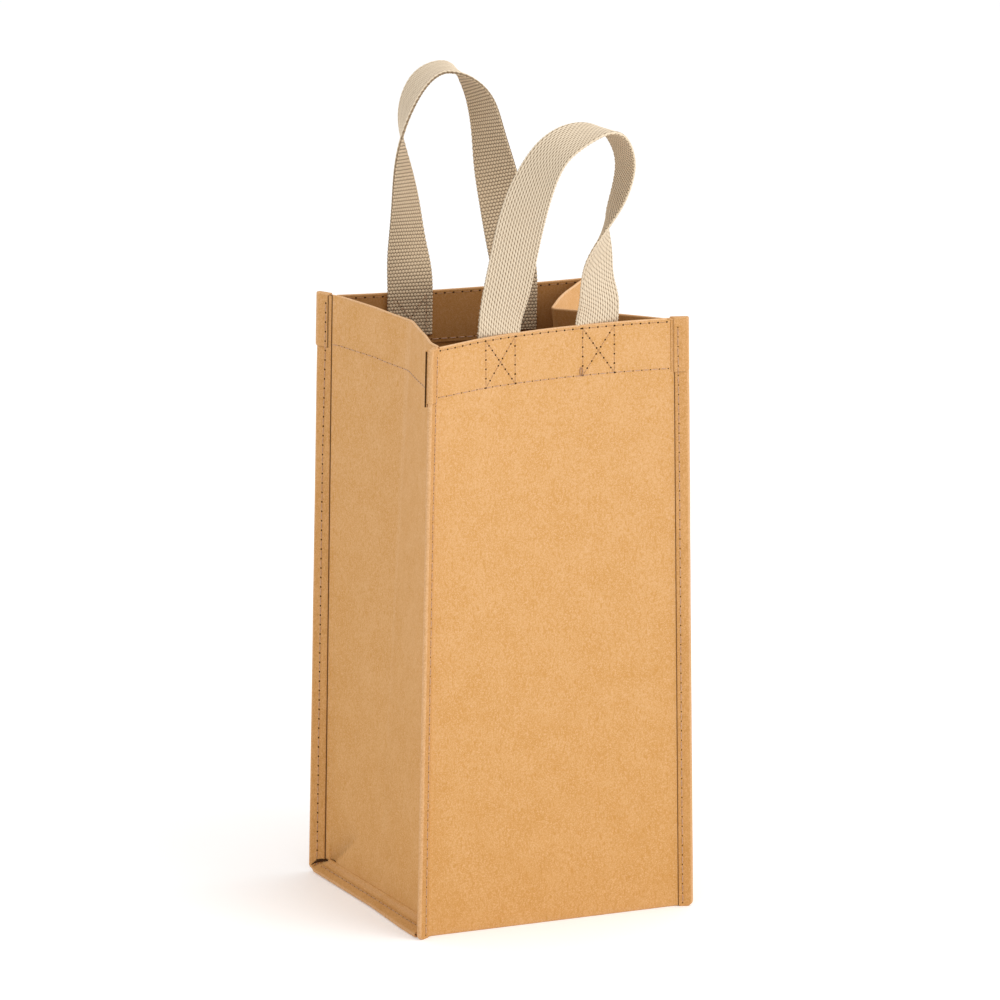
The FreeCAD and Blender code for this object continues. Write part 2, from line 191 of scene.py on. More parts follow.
# ---- camera
CAMERA_AZIMUTH = -24.3
CAMERA_ELEVATION = 15.1
CAMERA_DISTANCE = 14.0
PICTURE_SPAN = 0.5408    # width of what the camera sees at the object, in metres
AIM_RIGHT = 0.03759      # the aim, from the front left foot, in metres
AIM_UP = 0.2358
SENSOR_WIDTH = 36.0


# ---------------------------------------------------------------- plan geometry

def heading(degrees):
    return np.array((math.cos(math.radians(degrees)), math.sin(math.radians(degrees))))


def unit(vector):
    return vector / np.linalg.norm(vector)


def distances(points):
    """How far along a line of points each of them lies."""
    return np.concatenate(([0.0], np.cumsum(np.linalg.norm(np.diff(points, axis=0), axis=1))))


def left_of(step):
    return np.array((-step[1], step[0]))


def place(name, share):
    """A corner or crease of the bag in plan, at a share of its height."""
    low, high = np.array(FOOT[name]), np.array(MOUTH[name])
    return low + (high - low) * share


def seam_axes(corner, share):
    """Out along a corner's flange, and across it to the gusset's side."""
    low, high = CORNERS[corner]["heading"]
    angle = low + (high - low) * share
    return heading(angle), heading(angle + CORNERS[corner]["turn"])


def seam_line(corner, z):
    """How far out the seam is sewn at a height."""
    out, less = CORNERS[corner]["stitch"]
    return out - less * min(1.0, max(0.0, (z - 240.0) / 70.0))


def foot_of(corner, out):
    """How high a corner's tape ends, at a distance out along the flange."""
    at_fold, at_edge = CORNERS[corner]["foot"]
    return at_edge + (at_fold - at_edge) * max(0.0, 1.0 - (max(0.0, out) / FLANGE) ** 2) ** 0.7


def rounded_end(from_end, radius=3.0):
    """How far a tape's outer edge is cut back near its end."""
    near = max(0.0, radius - from_end)
    return radius - math.sqrt(radius ** 2 - near ** 2)


def crossing(start, step, other, other_step):
    """Where two lines in plan meet."""
    shares = np.linalg.solve(np.column_stack((step, -other_step)), other - start)
    return start + step * shares[0]


def bend(start, corner, end, share):
    """A point on the rounded corner between two straight runs."""
    return start * (1 - share) ** 2 + corner * 2 * share * (1 - share) + end * share ** 2


def ripple(seed, across, share):
    """The slight waviness of a sheet, none at its sides and its foot."""
    slow = noise.noise(Vector((across * 1.9 + seed, share * 2.3, seed * 0.7)))
    quick = noise.noise(Vector((across * 5.1, share * 6.7 + seed, seed * 1.3)))
    calm = math.sin(math.pi * min(max(across, 0.0), 1.0)) * min(1.0, share * 7.0)
    return (slow * 0.9 + quick * 0.22) * calm


def settled(x, y, z):
    """The rim isn't quite level: the bag's height falls off towards the back."""
    back = (y - FRONT_Y) / (-2.0 * FRONT_Y)
    right = (x + BASE_HALF_WIDTH) / (2.0 * BASE_HALF_WIDTH)
    drop = back * (REAR_LEFT_DROP + (REAR_RIGHT_DROP - REAR_LEFT_DROP) * right)
    for name, depth, reach in RIM_DIPS:
        away = np.hypot(x - MOUTH[name][0], y - MOUTH[name][1]) / reach
        drop += depth * math.exp(-away ** 2)
    return np.array((x, y, z - drop * z / BAG_HEIGHT))


# ---------------------------------------------------------------- meshes

def link(name, data, materials=()):
    item = bpy.data.objects.new(name, data)
    bpy.context.scene.collection.objects.link(item)
    for material in materials:
        data.materials.append(material)
    return item


def belongs(piece, body, slot, *nodes):
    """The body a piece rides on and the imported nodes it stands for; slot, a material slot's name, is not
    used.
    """
    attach(piece, body)
    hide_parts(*nodes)


def finished(name, points, faces, materials, values=None, sharp=48.0):
    """A smooth-shaded piece from millimetre points; values are named point values."""
    mesh = bpy.data.meshes.new(name)
    mesh.from_pydata((np.asarray(points) * MM).tolist(), [], faces)
    mesh.polygons.foreach_set("use_smooth", [True] * len(mesh.polygons))
    for key, numbers in (values or {}).items():
        attribute = mesh.attributes.new(key, "FLOAT", "POINT")
        attribute.data.foreach_set("value", np.asarray(numbers, np.float32))
    mesh.update()
    mesh.set_sharp_from_angle(angle=math.radians(sharp))
    return link(name, mesh, materials)


def normals_of(grid):
    """Unit normals of a grid of points, rows by columns."""
    across = np.gradient(grid, axis=1)
    up = np.gradient(grid, axis=0)
    normal = np.cross(across, up)
    return normal / np.maximum(np.linalg.norm(normal, axis=2, keepdims=True), 1e-9)


def border_of(rows, columns):
    ring = [(0, j) for j in range(columns)]
    ring += [(i, columns - 1) for i in range(1, rows)]
    ring += [(rows - 1, j) for j in range(columns - 2, -1, -1)]
    ring += [(i, 0) for i in range(rows - 2, 0, -1)]
    return ring


def tube(first, rings, sides):
    """The faces that join rings of points one after another."""
    faces = []
    for i in range(rings - 1):
        near, far = first + i * sides, first + (i + 1) * sides
        for j in range(sides):
            k = (j + 1) % sides
            faces.append((near + j, near + k, far + k, far + j))
    return faces


def slab(name, grid, low, high, values, far_inside_shade=0.0):
    """A thick kraft sheet over a grid, between two distances along the grid's normals."""
    grid = np.asarray(grid, float)
    rows, columns = grid.shape[:2]
    normal = normals_of(grid)
    near, far = grid + normal * low, grid + normal * high
    ring = border_of(rows, columns)
    edge = np.array([(near[i, j] + far[i, j]) / 2.0 for i, j in ring])
    points = np.concatenate((near.reshape(-1, 3), far.reshape(-1, 3), edge))
    count = rows * columns
    faces = []
    for i in range(rows - 1):
        for j in range(columns - 1):
            a, b = i * columns + j, i * columns + j + 1
            c, d = b + columns, a + columns
            faces.append((a, d, c, b))
            faces.append((count + a, count + b, count + c, count + d))
    for index, (i, j) in enumerate(ring):
        k, m = ring[(index + 1) % len(ring)]
        here, there = i * columns + j, k * columns + m
        edge_here = 2 * count + index
        edge_there = 2 * count + (index + 1) % len(ring)
        faces.append((here, there, edge_there, edge_here))
        faces.append((edge_here, edge_there, count + there, count + here))
    spread = {}
    for key, numbers in values.items():
        numbers = np.asarray(numbers, float)
        rim = np.array([numbers[i, j] for i, j in ring])
        spread[key] = np.concatenate((numbers.ravel(), numbers.ravel(), rim))
    # the far face gets the inside value, painted shade for the bag's inner side
    if "inside" not in spread:
        face_values = (np.zeros(count), np.full(count, far_inside_shade), np.zeros(len(ring)))
        spread["inside"] = np.concatenate(face_values)
    return finished(name, points, faces, [KRAFT], spread)


def swept(name, sections, material, values=None):
    """Closed outlines joined along their length, with both ends filled."""
    sections = np.asarray(sections, float)
    count, corners = sections.shape[:2]
    faces = tube(0, count, corners)
    faces.append(tuple(range(corners - 1, -1, -1)))
    faces.append(tuple((count - 1) * corners + j for j in range(corners)))
    return finished(name, sections.reshape(-1, 3), faces, [material], values)


def steps(start, end, size):
    count = max(2, int(round(abs(end - start) / size)) + 1)
    return list(np.linspace(start, end, count))


# ---------------------------------------------------------------- materials

class Nodes:
    """Short calls for building one material's nodes."""

    def __init__(self, name):
        self.material = bpy.data.materials.new(name)
        self.material.use_nodes = True
        self.tree = self.material.node_tree
        self.shader = self.tree.nodes["Principled BSDF"]

    def add(self, kind, **settings):
        node = self.tree.nodes.new(kind)
        for key, value in settings.items():
            setattr(node, key, value)
        return node

    def join(self, source, target):
        self.tree.links.new(source, target)

    def feed(self, socket, value):
        if isinstance(value, bpy.types.NodeSocket):
            self.join(value, socket)
        else:
            socket.default_value = value

    def math(self, operation, a, b=0.0, c=0.0):
        node = self.add("ShaderNodeMath", operation=operation)
        for socket, value in zip(node.inputs, (a, b, c)):
            self.feed(socket, value)
        return node.outputs[0]

    def mix(self, share, a, b, blend="MIX"):
        node = self.add("ShaderNodeMix", data_type="RGBA", blend_type=blend)
        self.feed(node.inputs[0], share)
        self.feed(node.inputs[6], a)
        self.feed(node.inputs[7], b)
        return node.outputs[2]

    def span(self, value, low, high, to_low=0.0, to_high=1.0):
        node = self.add("ShaderNodeMapRange")
        for socket, number in zip(node.inputs, (value, low, high, to_low, to_high)):
            self.feed(socket, number)
        return node.outputs[0]

    def centred(self, value):
        """How far a value is from the middle of its unit step."""
        return self.math("SUBTRACT", self.math("FRACT", value), 0.5)

    def stagger(self, value):
        """Half a step on every second unit of a value."""
        return self.math("MULTIPLY", self.math("MODULO", self.math("FLOOR", value), 2.0), 0.5)

    def surface(self, **inputs):
        """Sets or joins inputs of the shader; an underscore stands for a space."""
        for key, value in inputs.items():
            self.feed(self.shader.inputs[key.replace("_", " ")], value)
        return self.material

    def point_value(self, key):
        return self.add("ShaderNodeAttribute", attribute_name=key).outputs["Fac"]

    def height(self):
        coordinates = self.add("ShaderNodeTexCoord").outputs["Object"]
        split = self.add("ShaderNodeSeparateXYZ")
        self.join(coordinates, split.inputs["Vector"])
        return split.outputs["Z"]

    def noise(self, scale, detail=3.0, stretch=(1.0, 1.0, 1.0), turn=(0.0, 0.0, 0.0), roughness=0.5):
        coordinates = self.add("ShaderNodeTexCoord").outputs["Object"]
        mapping = self.add("ShaderNodeMapping")
        mapping.inputs["Scale"].default_value = stretch
        mapping.inputs["Rotation"].default_value = turn
        self.join(coordinates, mapping.inputs["Vector"])
        texture = self.add("ShaderNodeTexNoise")
        self.join(mapping.outputs["Vector"], texture.inputs["Vector"])
        texture.inputs["Scale"].default_value = scale
        texture.inputs["Detail"].default_value = detail
        texture.inputs["Roughness"].default_value = roughness
        return texture.outputs["Fac"]

    def bump(self, height, distance, strength=1.0, under=None):
        node = self.add("ShaderNodeBump")
        node.inputs["Strength"].default_value = strength
        node.inputs["Distance"].default_value = distance
        self.join(height, node.inputs["Height"])
        if under is not None:
            self.join(under, node.inputs["Normal"])
        return node.outputs[0]


def kraft(name, tone, light, dark):
    """Washed kraft sheet: faint clouds of pulp, fine grain, folds lighter with wear and painted highlight,
    painted light from above, painted shade on the inside and in grooves and creases.
    """
    n = Nodes(name)
    cloud = n.noise(62.0, 3.0, roughness=0.55)
    grain = n.noise(950.0, 3.0, roughness=0.7)
    speck = n.noise(1900.0, 2.0, roughness=0.6)
    fibre = n.noise(1000.0, 2.0, (1.0, 1.0, 0.35), (0.4, 0.7, 0.5))
    colour = n.mix(n.span(cloud, 0.34, 0.66, 0.0, 0.6), tone, dark)
    colour = n.mix(n.span(grain, 0.5, 0.7, 0.0, 0.8), colour, light)
    colour = n.mix(n.span(grain, 0.5, 0.3, 0.0, 0.7), colour, dark)
    colour = n.mix(n.span(speck, 0.5, 0.68, 0.0, 0.9), colour, light)
    colour = n.mix(n.span(fibre, 0.45, 0.29, 0.0, 0.8), colour, dark)
    # painted light from above: the sheet darker and warmer towards the foot, lighter and cooler towards the
    # top
    height = n.span(n.height(), 0.0, BAG_HEIGHT * MM)
    painted_top_light = n.mix(height, (0.94, 0.91, 0.82, 1.0), (1.03, 1.05, 1.12, 1.0))
    colour = n.mix(1.0, colour, painted_top_light, "MULTIPLY")
    # folds and edges lighter: partly real wear, partly painted highlight where light catches them
    wear_and_highlight = n.math("MULTIPLY", n.point_value("wear_and_highlight"), n.span(grain, 0.3, 0.65, 0.35, 1.0))
    colour = n.mix(wear_and_highlight, colour, (0.80, 0.52, 0.31, 1.0))
    # painted shade: the bag's inner faces darker, where less light reaches
    colour = n.mix(n.point_value("inside"), colour, (0.58, 0.47, 0.32, 1.0), "MULTIPLY")
    colour = n.mix(n.point_value("shade"), colour, (0.075, 0.032, 0.010, 1.0))
    relief = n.bump(grain, 0.00012, 0.5, n.bump(cloud, 0.0004, 0.35))
    roughness = n.span(grain, 0.3, 0.7, 0.74, 0.9)
    return n.surface(Base_Color=colour, Roughness=roughness, Specular_IOR_Level=0.25, Normal=relief)


def webbing(name, inner):
    """Cream webbing. Its outer face is ribbed lengthwise, its inner face in rows."""
    n = Nodes(name)
    across = n.point_value("weave_across")
    along = n.point_value("weave_along")
    if inner:
        row_place = n.centred(along)
        rib_place = n.centred(n.math("ADD", across, n.stagger(along)))
    else:
        fine = n.math("MULTIPLY", across, FINE_RIBS)
        rib_place = n.centred(fine)
        slant = n.math("MULTIPLY", rib_place, FLOAT_SLANT)
        row = n.math("MULTIPLY_ADD", along, PICK / FLOAT_LENGTH, slant)
        row_place = n.centred(n.math("ADD", row, n.stagger(fine)))
    rib_share, row_share = INNER_SHARES if inner else OUTER_SHARES
    rib_far = n.math("MULTIPLY", n.math("MULTIPLY", rib_place, rib_place), 4.0 * rib_share)
    row_far = n.math("MULTIPLY", n.math("MULTIPLY", row_place, row_place), 4.0 * row_share)
    crown = n.math("SUBTRACT", 1.0, n.math("ADD", rib_far, row_far))
    yarn = n.noise(1300.0, 2.0, roughness=0.6)
    drift = n.noise(60.0, 2.0)
    # painted shade: dark in the gaps between floats, darkest on the inner face; the yarn's own colour on the
    # crowns
    if inner:
        gap, dark, light = -0.3, (0.085, 0.045, 0.018, 1.0), (0.74, 0.57, 0.38, 1.0)
    else:
        gap, dark, light = -0.15, (0.17, 0.10, 0.045, 1.0), (0.85, 0.71, 0.53, 1.0)
    colour = n.mix(n.span(crown, gap, 0.6), dark, light)
    colour = n.mix(n.span(yarn, 0.35, 0.7, 0.0, 0.3), colour, (0.50, 0.38, 0.24, 1.0))
    colour = n.mix(n.span(drift, 0.35, 0.7, 0.0, 0.16), colour, (0.60, 0.46, 0.31, 1.0))
    relief = n.bump(yarn, 0.00012, 0.7, n.bump(n.span(crown, -0.5, 1.0), 0.0004, 0.6))
    return n.surface(Base_Color=colour, Roughness=0.8, Sheen_Weight=0.1, Specular_IOR_Level=0.25,
                     Normal=relief)


def thread(name, colour, dark):
    """Twisted sewing thread, mottled lighter and darker."""
    n = Nodes(name)
    twist = n.noise(2600.0, 2.0, (1.0, 1.0, 1.0), (0.6, 0.6, 0.2))
    colour = n.mix(n.span(twist, 0.35, 0.65), dark, colour)
    return n.surface(Base_Color=colour, Roughness=0.6, Sheen_Weight=0.2, Normal=n.bump(twist, 0.0001, 0.6))


def hole_and_gap_shade(name):
    """The dark mark of a needle hole, browner at its edge; the same dark serves as painted shadow in the
    seam's openings.
    """
    n = Nodes(name)
    speck = n.noise(1800.0, 1.0)
    inside, edge = (0.035, 0.014, 0.005, 1.0), (0.10, 0.045, 0.016, 1.0)
    colour = n.mix(n.span(speck, 0.35, 0.7), inside, edge)
    return n.surface(Base_Color=colour, Roughness=0.95, Specular_IOR_Level=0.05)


def floor_finish(name):
    n = Nodes(name)
    speck = n.noise(9.0, 2.0)
    colour = n.mix(n.span(speck, 0.3, 0.7), (0.94, 0.94, 0.94, 1.0), (0.95, 0.95, 0.95, 1.0))
    return n.surface(Base_Color=colour, Roughness=0.9, Emission_Color=(1.0, 1.0, 1.0, 1.0),
                     Emission_Strength=0.16)


KRAFT = kraft("kraft_sheet", (0.66, 0.36, 0.135, 1.0), (0.735, 0.435, 0.215, 1.0), (0.58, 0.285, 0.072, 1.0))
BINDING = kraft("binding_tape", (0.60, 0.31, 0.10, 1.0), (0.69, 0.385, 0.165, 1.0), (0.50, 0.235, 0.055, 1.0))
WEBBING = webbing("webbing_outer_face", False)
WEBBING_INNER = webbing("webbing_inner_face", True)
THREAD = thread("sewing_thread", (0.64, 0.42, 0.30, 1.0), (0.40, 0.23, 0.145, 1.0))
BROWN_THREAD = thread("brown_thread", (0.52, 0.29, 0.15, 1.0), (0.34, 0.17, 0.08, 1.0))
HOLE_AND_GAP_SHADE = hole_and_gap_shade("hole_and_gap_shade")


# ---------------------------------------------------------------- stage

def stage_and_light():
    """A pale floor, a white world, a broad key light and a soft light from above."""
    low, high = CAD_BOX
    size = 9.0
    mesh = bpy.data.meshes.new("floor")
    corners = [(-size, -size, low.z), (size, -size, low.z), (size, size, low.z), (-size, size, low.z)]
    mesh.from_pydata(corners, [], [(0, 1, 2, 3)])
    floor = link("floor", mesh, [floor_finish("pale_floor")])

    world = bpy.data.worlds.new("studio")
    world.use_nodes = True
    background = world.node_tree.nodes["Background"]
    background.inputs["Color"].default_value = (1.0, 1.0, 1.0, 1.0)
    background.inputs["Strength"].default_value = 0.85
    bpy.context.scene.world = world

    centre = (low + high) / 2.0
    soft_box("key_light", centre, Vector((0.75, -1.45, 1.15)), 1.3, 12.0)
    soft_box("top_light", centre, Vector((0.35, -0.2, 1.7)), 1.2, 6.0)


def soft_box(name, aim, offset, size, power):
    light = bpy.data.lights.new(name, "AREA")
    light.shape = "SQUARE"
    light.size = size
    light.energy = power
    lamp = link(name, light)
    lamp.location = aim + offset
    lamp.rotation_euler = (-offset).to_track_quat("-Z", "Y").to_euler()


def camera():
    """A long lens at the bag's left front, a little above it."""
    low, high = CAD_BOX
    turn, rise = math.radians(CAMERA_AZIMUTH), math.radians(CAMERA_ELEVATION)
    back = Vector((math.sin(turn) * math.cos(rise), -math.cos(turn) * math.cos(rise), math.sin(rise)))
    right = Vector((math.cos(turn), math.sin(turn), 0.0))
    up = back.cross(right)
    corner = Vector((-BASE_HALF_WIDTH, FRONT_Y, 0.0)) * MM
    middle = Vector(((low.x + high.x) / 2.0, (low.y + high.y) / 2.0, (low.z + high.z) / 2.0))
    aim = corner + right * AIM_RIGHT + up * AIM_UP
    aim += back * (middle - aim).dot(back)
    data = bpy.data.cameras.new("camera")
    data.sensor_width = SENSOR_WIDTH
    data.lens = data.sensor_width * CAMERA_DISTANCE / PICTURE_SPAN
    data.clip_end = 50.0
    item = link("camera", data)
    item.location = aim + back * CAMERA_DISTANCE
    item.rotation_euler = (-back).to_track_quat("-Z", "Y").to_euler()
    bpy.context.scene.camera = item


# ---------------------------------------------------------------- panels

class Panel:
    """The outer face of the front or back panel, and what is laid on it."""

    def __init__(self, name, left, right, turn, bow, seed, blend_body):
        self.name = name
        self.left = left
        self.right = right
        self.turn = turn
        self.bow = bow
        self.seed = seed
        self.body = blend_body

    def inward(self, share):
        step = unit(place(self.right, share) - place(self.left, share))
        return left_of(step) * self.turn

    def width(self, share):
        return np.linalg.norm(place(self.right, share) - place(self.left, share))

    def plan(self, across, share):
        start, end = place(self.left, share), place(self.right, share)
        depth = self.bow * share * 4.0 * across * (1.0 - across)
        depth += ripple(self.seed, across, share) * 0.8
        return start + (end - start) * across + self.inward(share) * depth

    def point(self, across, z, depth=0.0):
        share = z / BAG_HEIGHT
        x, y = self.plan(across, share) + self.inward(share) * depth
        return settled(x, y, z)

    def across_at(self, along, z):
        """The share of the width at a distance from the panel's middle."""
        return 0.5 + along / self.width(z / BAG_HEIGHT)

    def spot(self, along, z, depth=0.0):
        """A point on the panel and the direction out of it."""
        across = self.across_at(along, z)
        here = self.point(across, z, depth)
        side = self.point(across + 0.004, z, depth) - self.point(across - 0.004, z, depth)
        rise = self.point(across, z + 0.4, depth) - self.point(across, z - 0.4, depth)
        outward = unit(np.cross(side, rise)) * self.turn
        return here, outward

    def inner_spot(self, along, z, depth):
        """A point on a layer inside the panel and the direction into the bag."""
        here, outward = self.spot(along, z, depth)
        return here, -outward

    def columns(self):
        """Where each column of the sheet lies: (part, place along that part)."""
        outs = (FLANGE, 6.0, FRONT_LEG_START + 0.5, FRONT_LEG_START - 0.4, FRONT_LEG_START - 0.75, FOLD_REACH)
        found = [("left_flange", out) for out in outs]
        found += [("left_fold", share) for share in FOLD_SHARES]
        found += [("panel", share) for share in np.linspace(0.0, 1.0, SHEET_COLUMNS)]
        found += [("right_fold", share) for share in FOLD_SHARES]
        found += [("right_flange", out) for out in outs[::-1]]
        return found

    def corner_of(self, part):
        return self.left if part.startswith("left") else self.right

    def groove_shade(self, part, value):
        """The dark line where the tape's edge lies on the panel's allowance."""
        if not part.endswith("flange") or value < FRONT_LEG_START - 0.5:
            return 0.0
        return CORNERS[self.corner_of(part)]["grooves"][0]

    def flange_foot(self, part, value):
        """How high an allowance ends, a little inside its tape."""
        out = value if part.endswith("flange") else 0.0
        return foot_of(self.corner_of(part), out) + 0.3

    def column_point(self, part, value, share):
        """A column's plan point at a share of the height, and how far it is panel."""
        margin = FOLD_REACH / self.width(share)
        corner = self.corner_of(part)
        along_flange, _ = seam_axes(corner, share)
        corner_point = place(corner, share)
        if part == "panel":
            return self.plan(margin + value * (1.0 - 2.0 * margin), share), 1.0
        if part.endswith("flange"):
            return corner_point + along_flange * value, 0.0
        flange_end = corner_point + along_flange * FOLD_REACH
        if corner == self.left:
            return bend(flange_end, corner_point, self.plan(margin, share), value), value
        return bend(self.plan(1.0 - margin, share), corner_point, flange_end, value), 1.0 - value

    def sheet(self):
        """The panel with its turned-out allowances, folding under at the foot."""
        levels = [(0.0, 2.0), (0.0, 1.0), (0.25, 0.3), (0.9, 0.0)]
        levels += [(z, 0.0) for z in steps(3.0, BAG_HEIGHT - SHEET, ROW_STEP)]
        grid, wear_and_highlight, shade = [], [], []
        for index, (z, under) in enumerate(levels):
            last = index == len(levels) - 1
            row, row_wear_and_highlight, row_shade = [], [], []
            for part, value in self.columns():
                share = z / BAG_HEIGHT
                plan, panel_share = self.column_point(part, value, share)
                plan = plan + self.inward(share) * under * panel_share
                foot = self.flange_foot(part, value)
                height = z if panel_share > 0.5 else max(z, foot + 0.02 * index)
                if part.endswith("flange"):
                    cut = rounded_end(height - foot) * max(0.0, value - 6.0) / 3.5
                    plan = self.column_point(part, value - cut, share)[0]
                if last and panel_share < 0.5:
                    height = BAG_HEIGHT - 0.2
                row.append(settled(plan[0], plan[1], height))
                # the foot fold lighter: wear and painted highlight
                row_wear_and_highlight.append(0.35 * math.exp(-z / 1.2) if panel_share > 0.5 else 0.0)
                row_shade.append(self.groove_shade(part, value))
            grid.append(row)
            wear_and_highlight.append(row_wear_and_highlight)
            shade.append(row_shade)
        values = {"wear_and_highlight": wear_and_highlight, "shade": shade}
        piece = slab(self.name + "_sheet", grid, 0.0, -SHEET * self.turn, values, far_inside_shade=1.0)
        belongs(piece, self.body, "kraft_sheet", self.name + "_panel")
        width = self.width(0.0) + 2.0 * FLANGE

    def hem(self):
        margin = HEM_MARGIN / self.width(1.0)
        shares = np.linspace(margin, 1.0 - margin, SHEET_COLUMNS)
        piece = folded_hem(self.name, shares, self.point)
        belongs(piece, self.body, "kraft_sheet", self.name + "_hem")
        self.width(1.0) * MM


def folded_hem(name, columns, point_at):
    """The rim: the sheet folded over and down inside, in one run."""
    fold_height = BAG_HEIGHT - SHEET
    path = [(SHEET / 2.0, fold_height)]
    for angle in np.linspace(170.0, 10.0, 7):
        turned = heading(angle)
        path.append((SHEET + 0.42 * turned[0] + 0.02, fold_height + 0.4 * turned[1]))
    path += [(1.5 * SHEET + 0.04, z) for z in steps(fold_height - 0.3, BAG_HEIGHT - HEM_DEPTH, 3.0)]
    grid = [[point_at(column, z, depth) for column in columns] for depth, z in path]
    # the rim's top lighter: wear and painted highlight
    wear_and_highlight = [[0.75 if z > fold_height else 0.1] * len(columns) for _, z in path]
    # painted shade on the hem's inner side, past the fold
    inside = [[min(1.0, max(0.0, depth - SHEET) * 2.0)] * len(columns) for depth, _ in path]
    values = {"wear_and_highlight": wear_and_highlight, "inside": inside, "shade": np.zeros((len(path), len(columns)))}
    return slab(name + "_folded_hem", grid, -SHEET / 2.0, SHEET / 2.0, values)


# ---------------------------------------------------------------- gussets

def shouldered(value):
    """1 at a shoulder near the corner, falling straight to 0 on both sides."""
    rise, fall = value / SHOULDER_PLACE, (1.0 - value) / (1.0 - SHOULDER_PLACE)
    return (rise + fall - math.hypot(rise - fall, SHOULDER_ROUNDING)) / 2.0


class GussetHalf:
    """One half of a side gusset, from the middle crease out into the corner seam."""

    def __init__(self, side, corner, other, body, crease_reach, sag, seed, shoulder=0.0):
        self.side = side
        self.node = side + "_gusset_" + ("front" if corner.startswith("front") else "rear")
        self.corner = corner
        self.crease = side + "_crease"
        self.other = other
        self.body = body
        self.crease_reach = crease_reach
        self.sag = sag
        self.seed = seed
        self.shoulder = shoulder

    def fold(self, share):
        """Where the gusset's outer face turns into the seam."""
        along_flange, to_gusset = seam_axes(self.corner, share)
        start = place(self.corner, share)
        into_side = unit(place(self.crease, share) - start)
        return crossing(start, into_side, start + to_gusset * 2.0 * SHEET, along_flange)

    def crease_start(self, share):
        """The crown of the rounded crease, shared by both halves."""
        middle = place(self.crease, share)
        here = middle + unit(place(self.corner, share) - middle) * self.crease_reach * share
        there = middle + unit(place(self.other, share) - middle) * self.crease_reach * share
        return middle, here, bend(here, middle, there, 0.5)

    def plan(self, part, value, share):
        middle, crease_end, crown = self.crease_start(share)
        fold = self.fold(share)
        along_flange, to_gusset = seam_axes(self.corner, share)
        run = fold - crease_end
        fold_start = fold - unit(run) * FOLD_REACH
        fold_end = fold + along_flange * FOLD_REACH
        if part == "crease":
            control = (crown + crease_end) / 2.0 + (middle - (crown + crease_end) / 2.0) * 0.4
            return bend(crown, control, crease_end, value)
        if part == "side":
            point = crease_end + (fold_start - crease_end) * value
            outward = left_of(unit(run))
            bulge = self.sag * share * 4.0 * value * (1.0 - value)
            bulge += self.shoulder * share * shouldered(value)
            bulge += ripple(self.seed, value, share) * 1.1
            return point + outward * bulge
        if part == "fold":
            return bend(fold_start, fold, fold_end, value)
        base = place(self.corner, share) + to_gusset * 2.0 * SHEET
        reach = np.dot(fold_end - base, along_flange)
        return base + along_flange * max(value, reach + 0.01 * value)

    def columns(self):
        found = [("crease", share) for share in (0.0, 0.33, 0.66)]
        found += [("side", share) for share in np.linspace(0.0, 1.0, 44)]
        found += [("fold", share) for share in FOLD_SHARES]
        edge = GUSSET_LEG_START
        found += [("flange", out) for out in (-2.6, edge - 0.85, edge - 0.5, edge + 0.3, 3.4, 6.4, FLANGE)]
        return found

    def pucker(self, value, z):
        """A diagonal fold where the rear left side is drawn into the corner: depth and shade."""
        if self.corner != "rear_left":
            return 0.0, 0.0
        y = -FRONT_Y * value
        start, step = np.array((65.7, 7.7)), unit(np.array((-30.2, 19.8)))
        offset = np.array((y, z)) - start
        along = offset @ step
        above = offset @ np.array((-step[1], step[0])) * -1.0
        window = max(0.0, 1.0 - (along / 44.0) ** 2) if along > -6.0 else 0.0
        slope = math.exp(-above / 9.0) if above > 0.0 else math.exp(above / 1.6)
        return 1.5 * window * slope, 0.3 * window * math.exp(-above / 6.0) * (above > 0.0)

    def face(self, part, value, z):
        share = z / BAG_HEIGHT
        point = self.plan(part, value, share)
        if part == "side":
            inward = left_of(unit(self.fold(share) - place(self.crease, share)))
            if inward @ point > 0.0:
                inward = -inward
            point = point + inward * self.pucker(value, z)[0]
        return settled(point[0], point[1], z)

    def shade_at(self, part, value, z, groove):
        if part == "flange":
            return groove if value > GUSSET_LEG_START - 0.6 else 0.0
        return self.pucker(value, z)[1] if part == "side" else 0.0

    def sign(self):
        """Which way the grid's normals point: 1 when into the bag."""
        return -1.0 if (self.side == "left") == self.corner.startswith("front") else 1.0

    def blended(self, piece):
        """Bakes the piece's transform into its mesh."""
        start = Vector((0.0, 0.0, 0.2))
        end = Vector((0.0, place(self.corner, 1.0)[1] * MM, 0.2))
        start.y = place(self.crease, 1.0)[1] * MM
        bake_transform(piece)

    def half(self):
        heights = steps(GUSSET_FOOT, 44.0, 1.6) + steps(49.0, BAG_HEIGHT - SHEET, ROW_STEP)
        columns = self.columns()
        grid, wear_and_highlight, shade = [], [], []
        for index, z in enumerate(heights):
            last = index == len(heights) - 1
            row = []
            for part, value in columns:
                lifted = last and (part == "flange" or (part == "fold" and value > 0.5))
                row.append(self.face(part, value, BAG_HEIGHT - 0.2 if lifted else z))
            grid.append(row)
            # the crease lighter towards the top: wear and painted highlight
            near_crease = 0.25 * z / BAG_HEIGHT
            wear_and_highlight.append([near_crease if part == "crease" else 0.0 for part, _ in columns])
            groove = CORNERS[self.corner]["grooves"][1]
            shade.append([self.shade_at(part, value, z, groove) for part, value in columns])
        values = {"wear_and_highlight": wear_and_highlight, "shade": shade}
        piece = slab(self.node + "_sheet", grid, 0.0, SHEET * self.sign(), values, far_inside_shade=1.0)
        self.blended(piece)
        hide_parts(self.node + "_half", self.corner + "_gusset_allowance")
        width = np.linalg.norm(place(self.corner, 0.5) - place(self.crease, 0.5)) + FLANGE

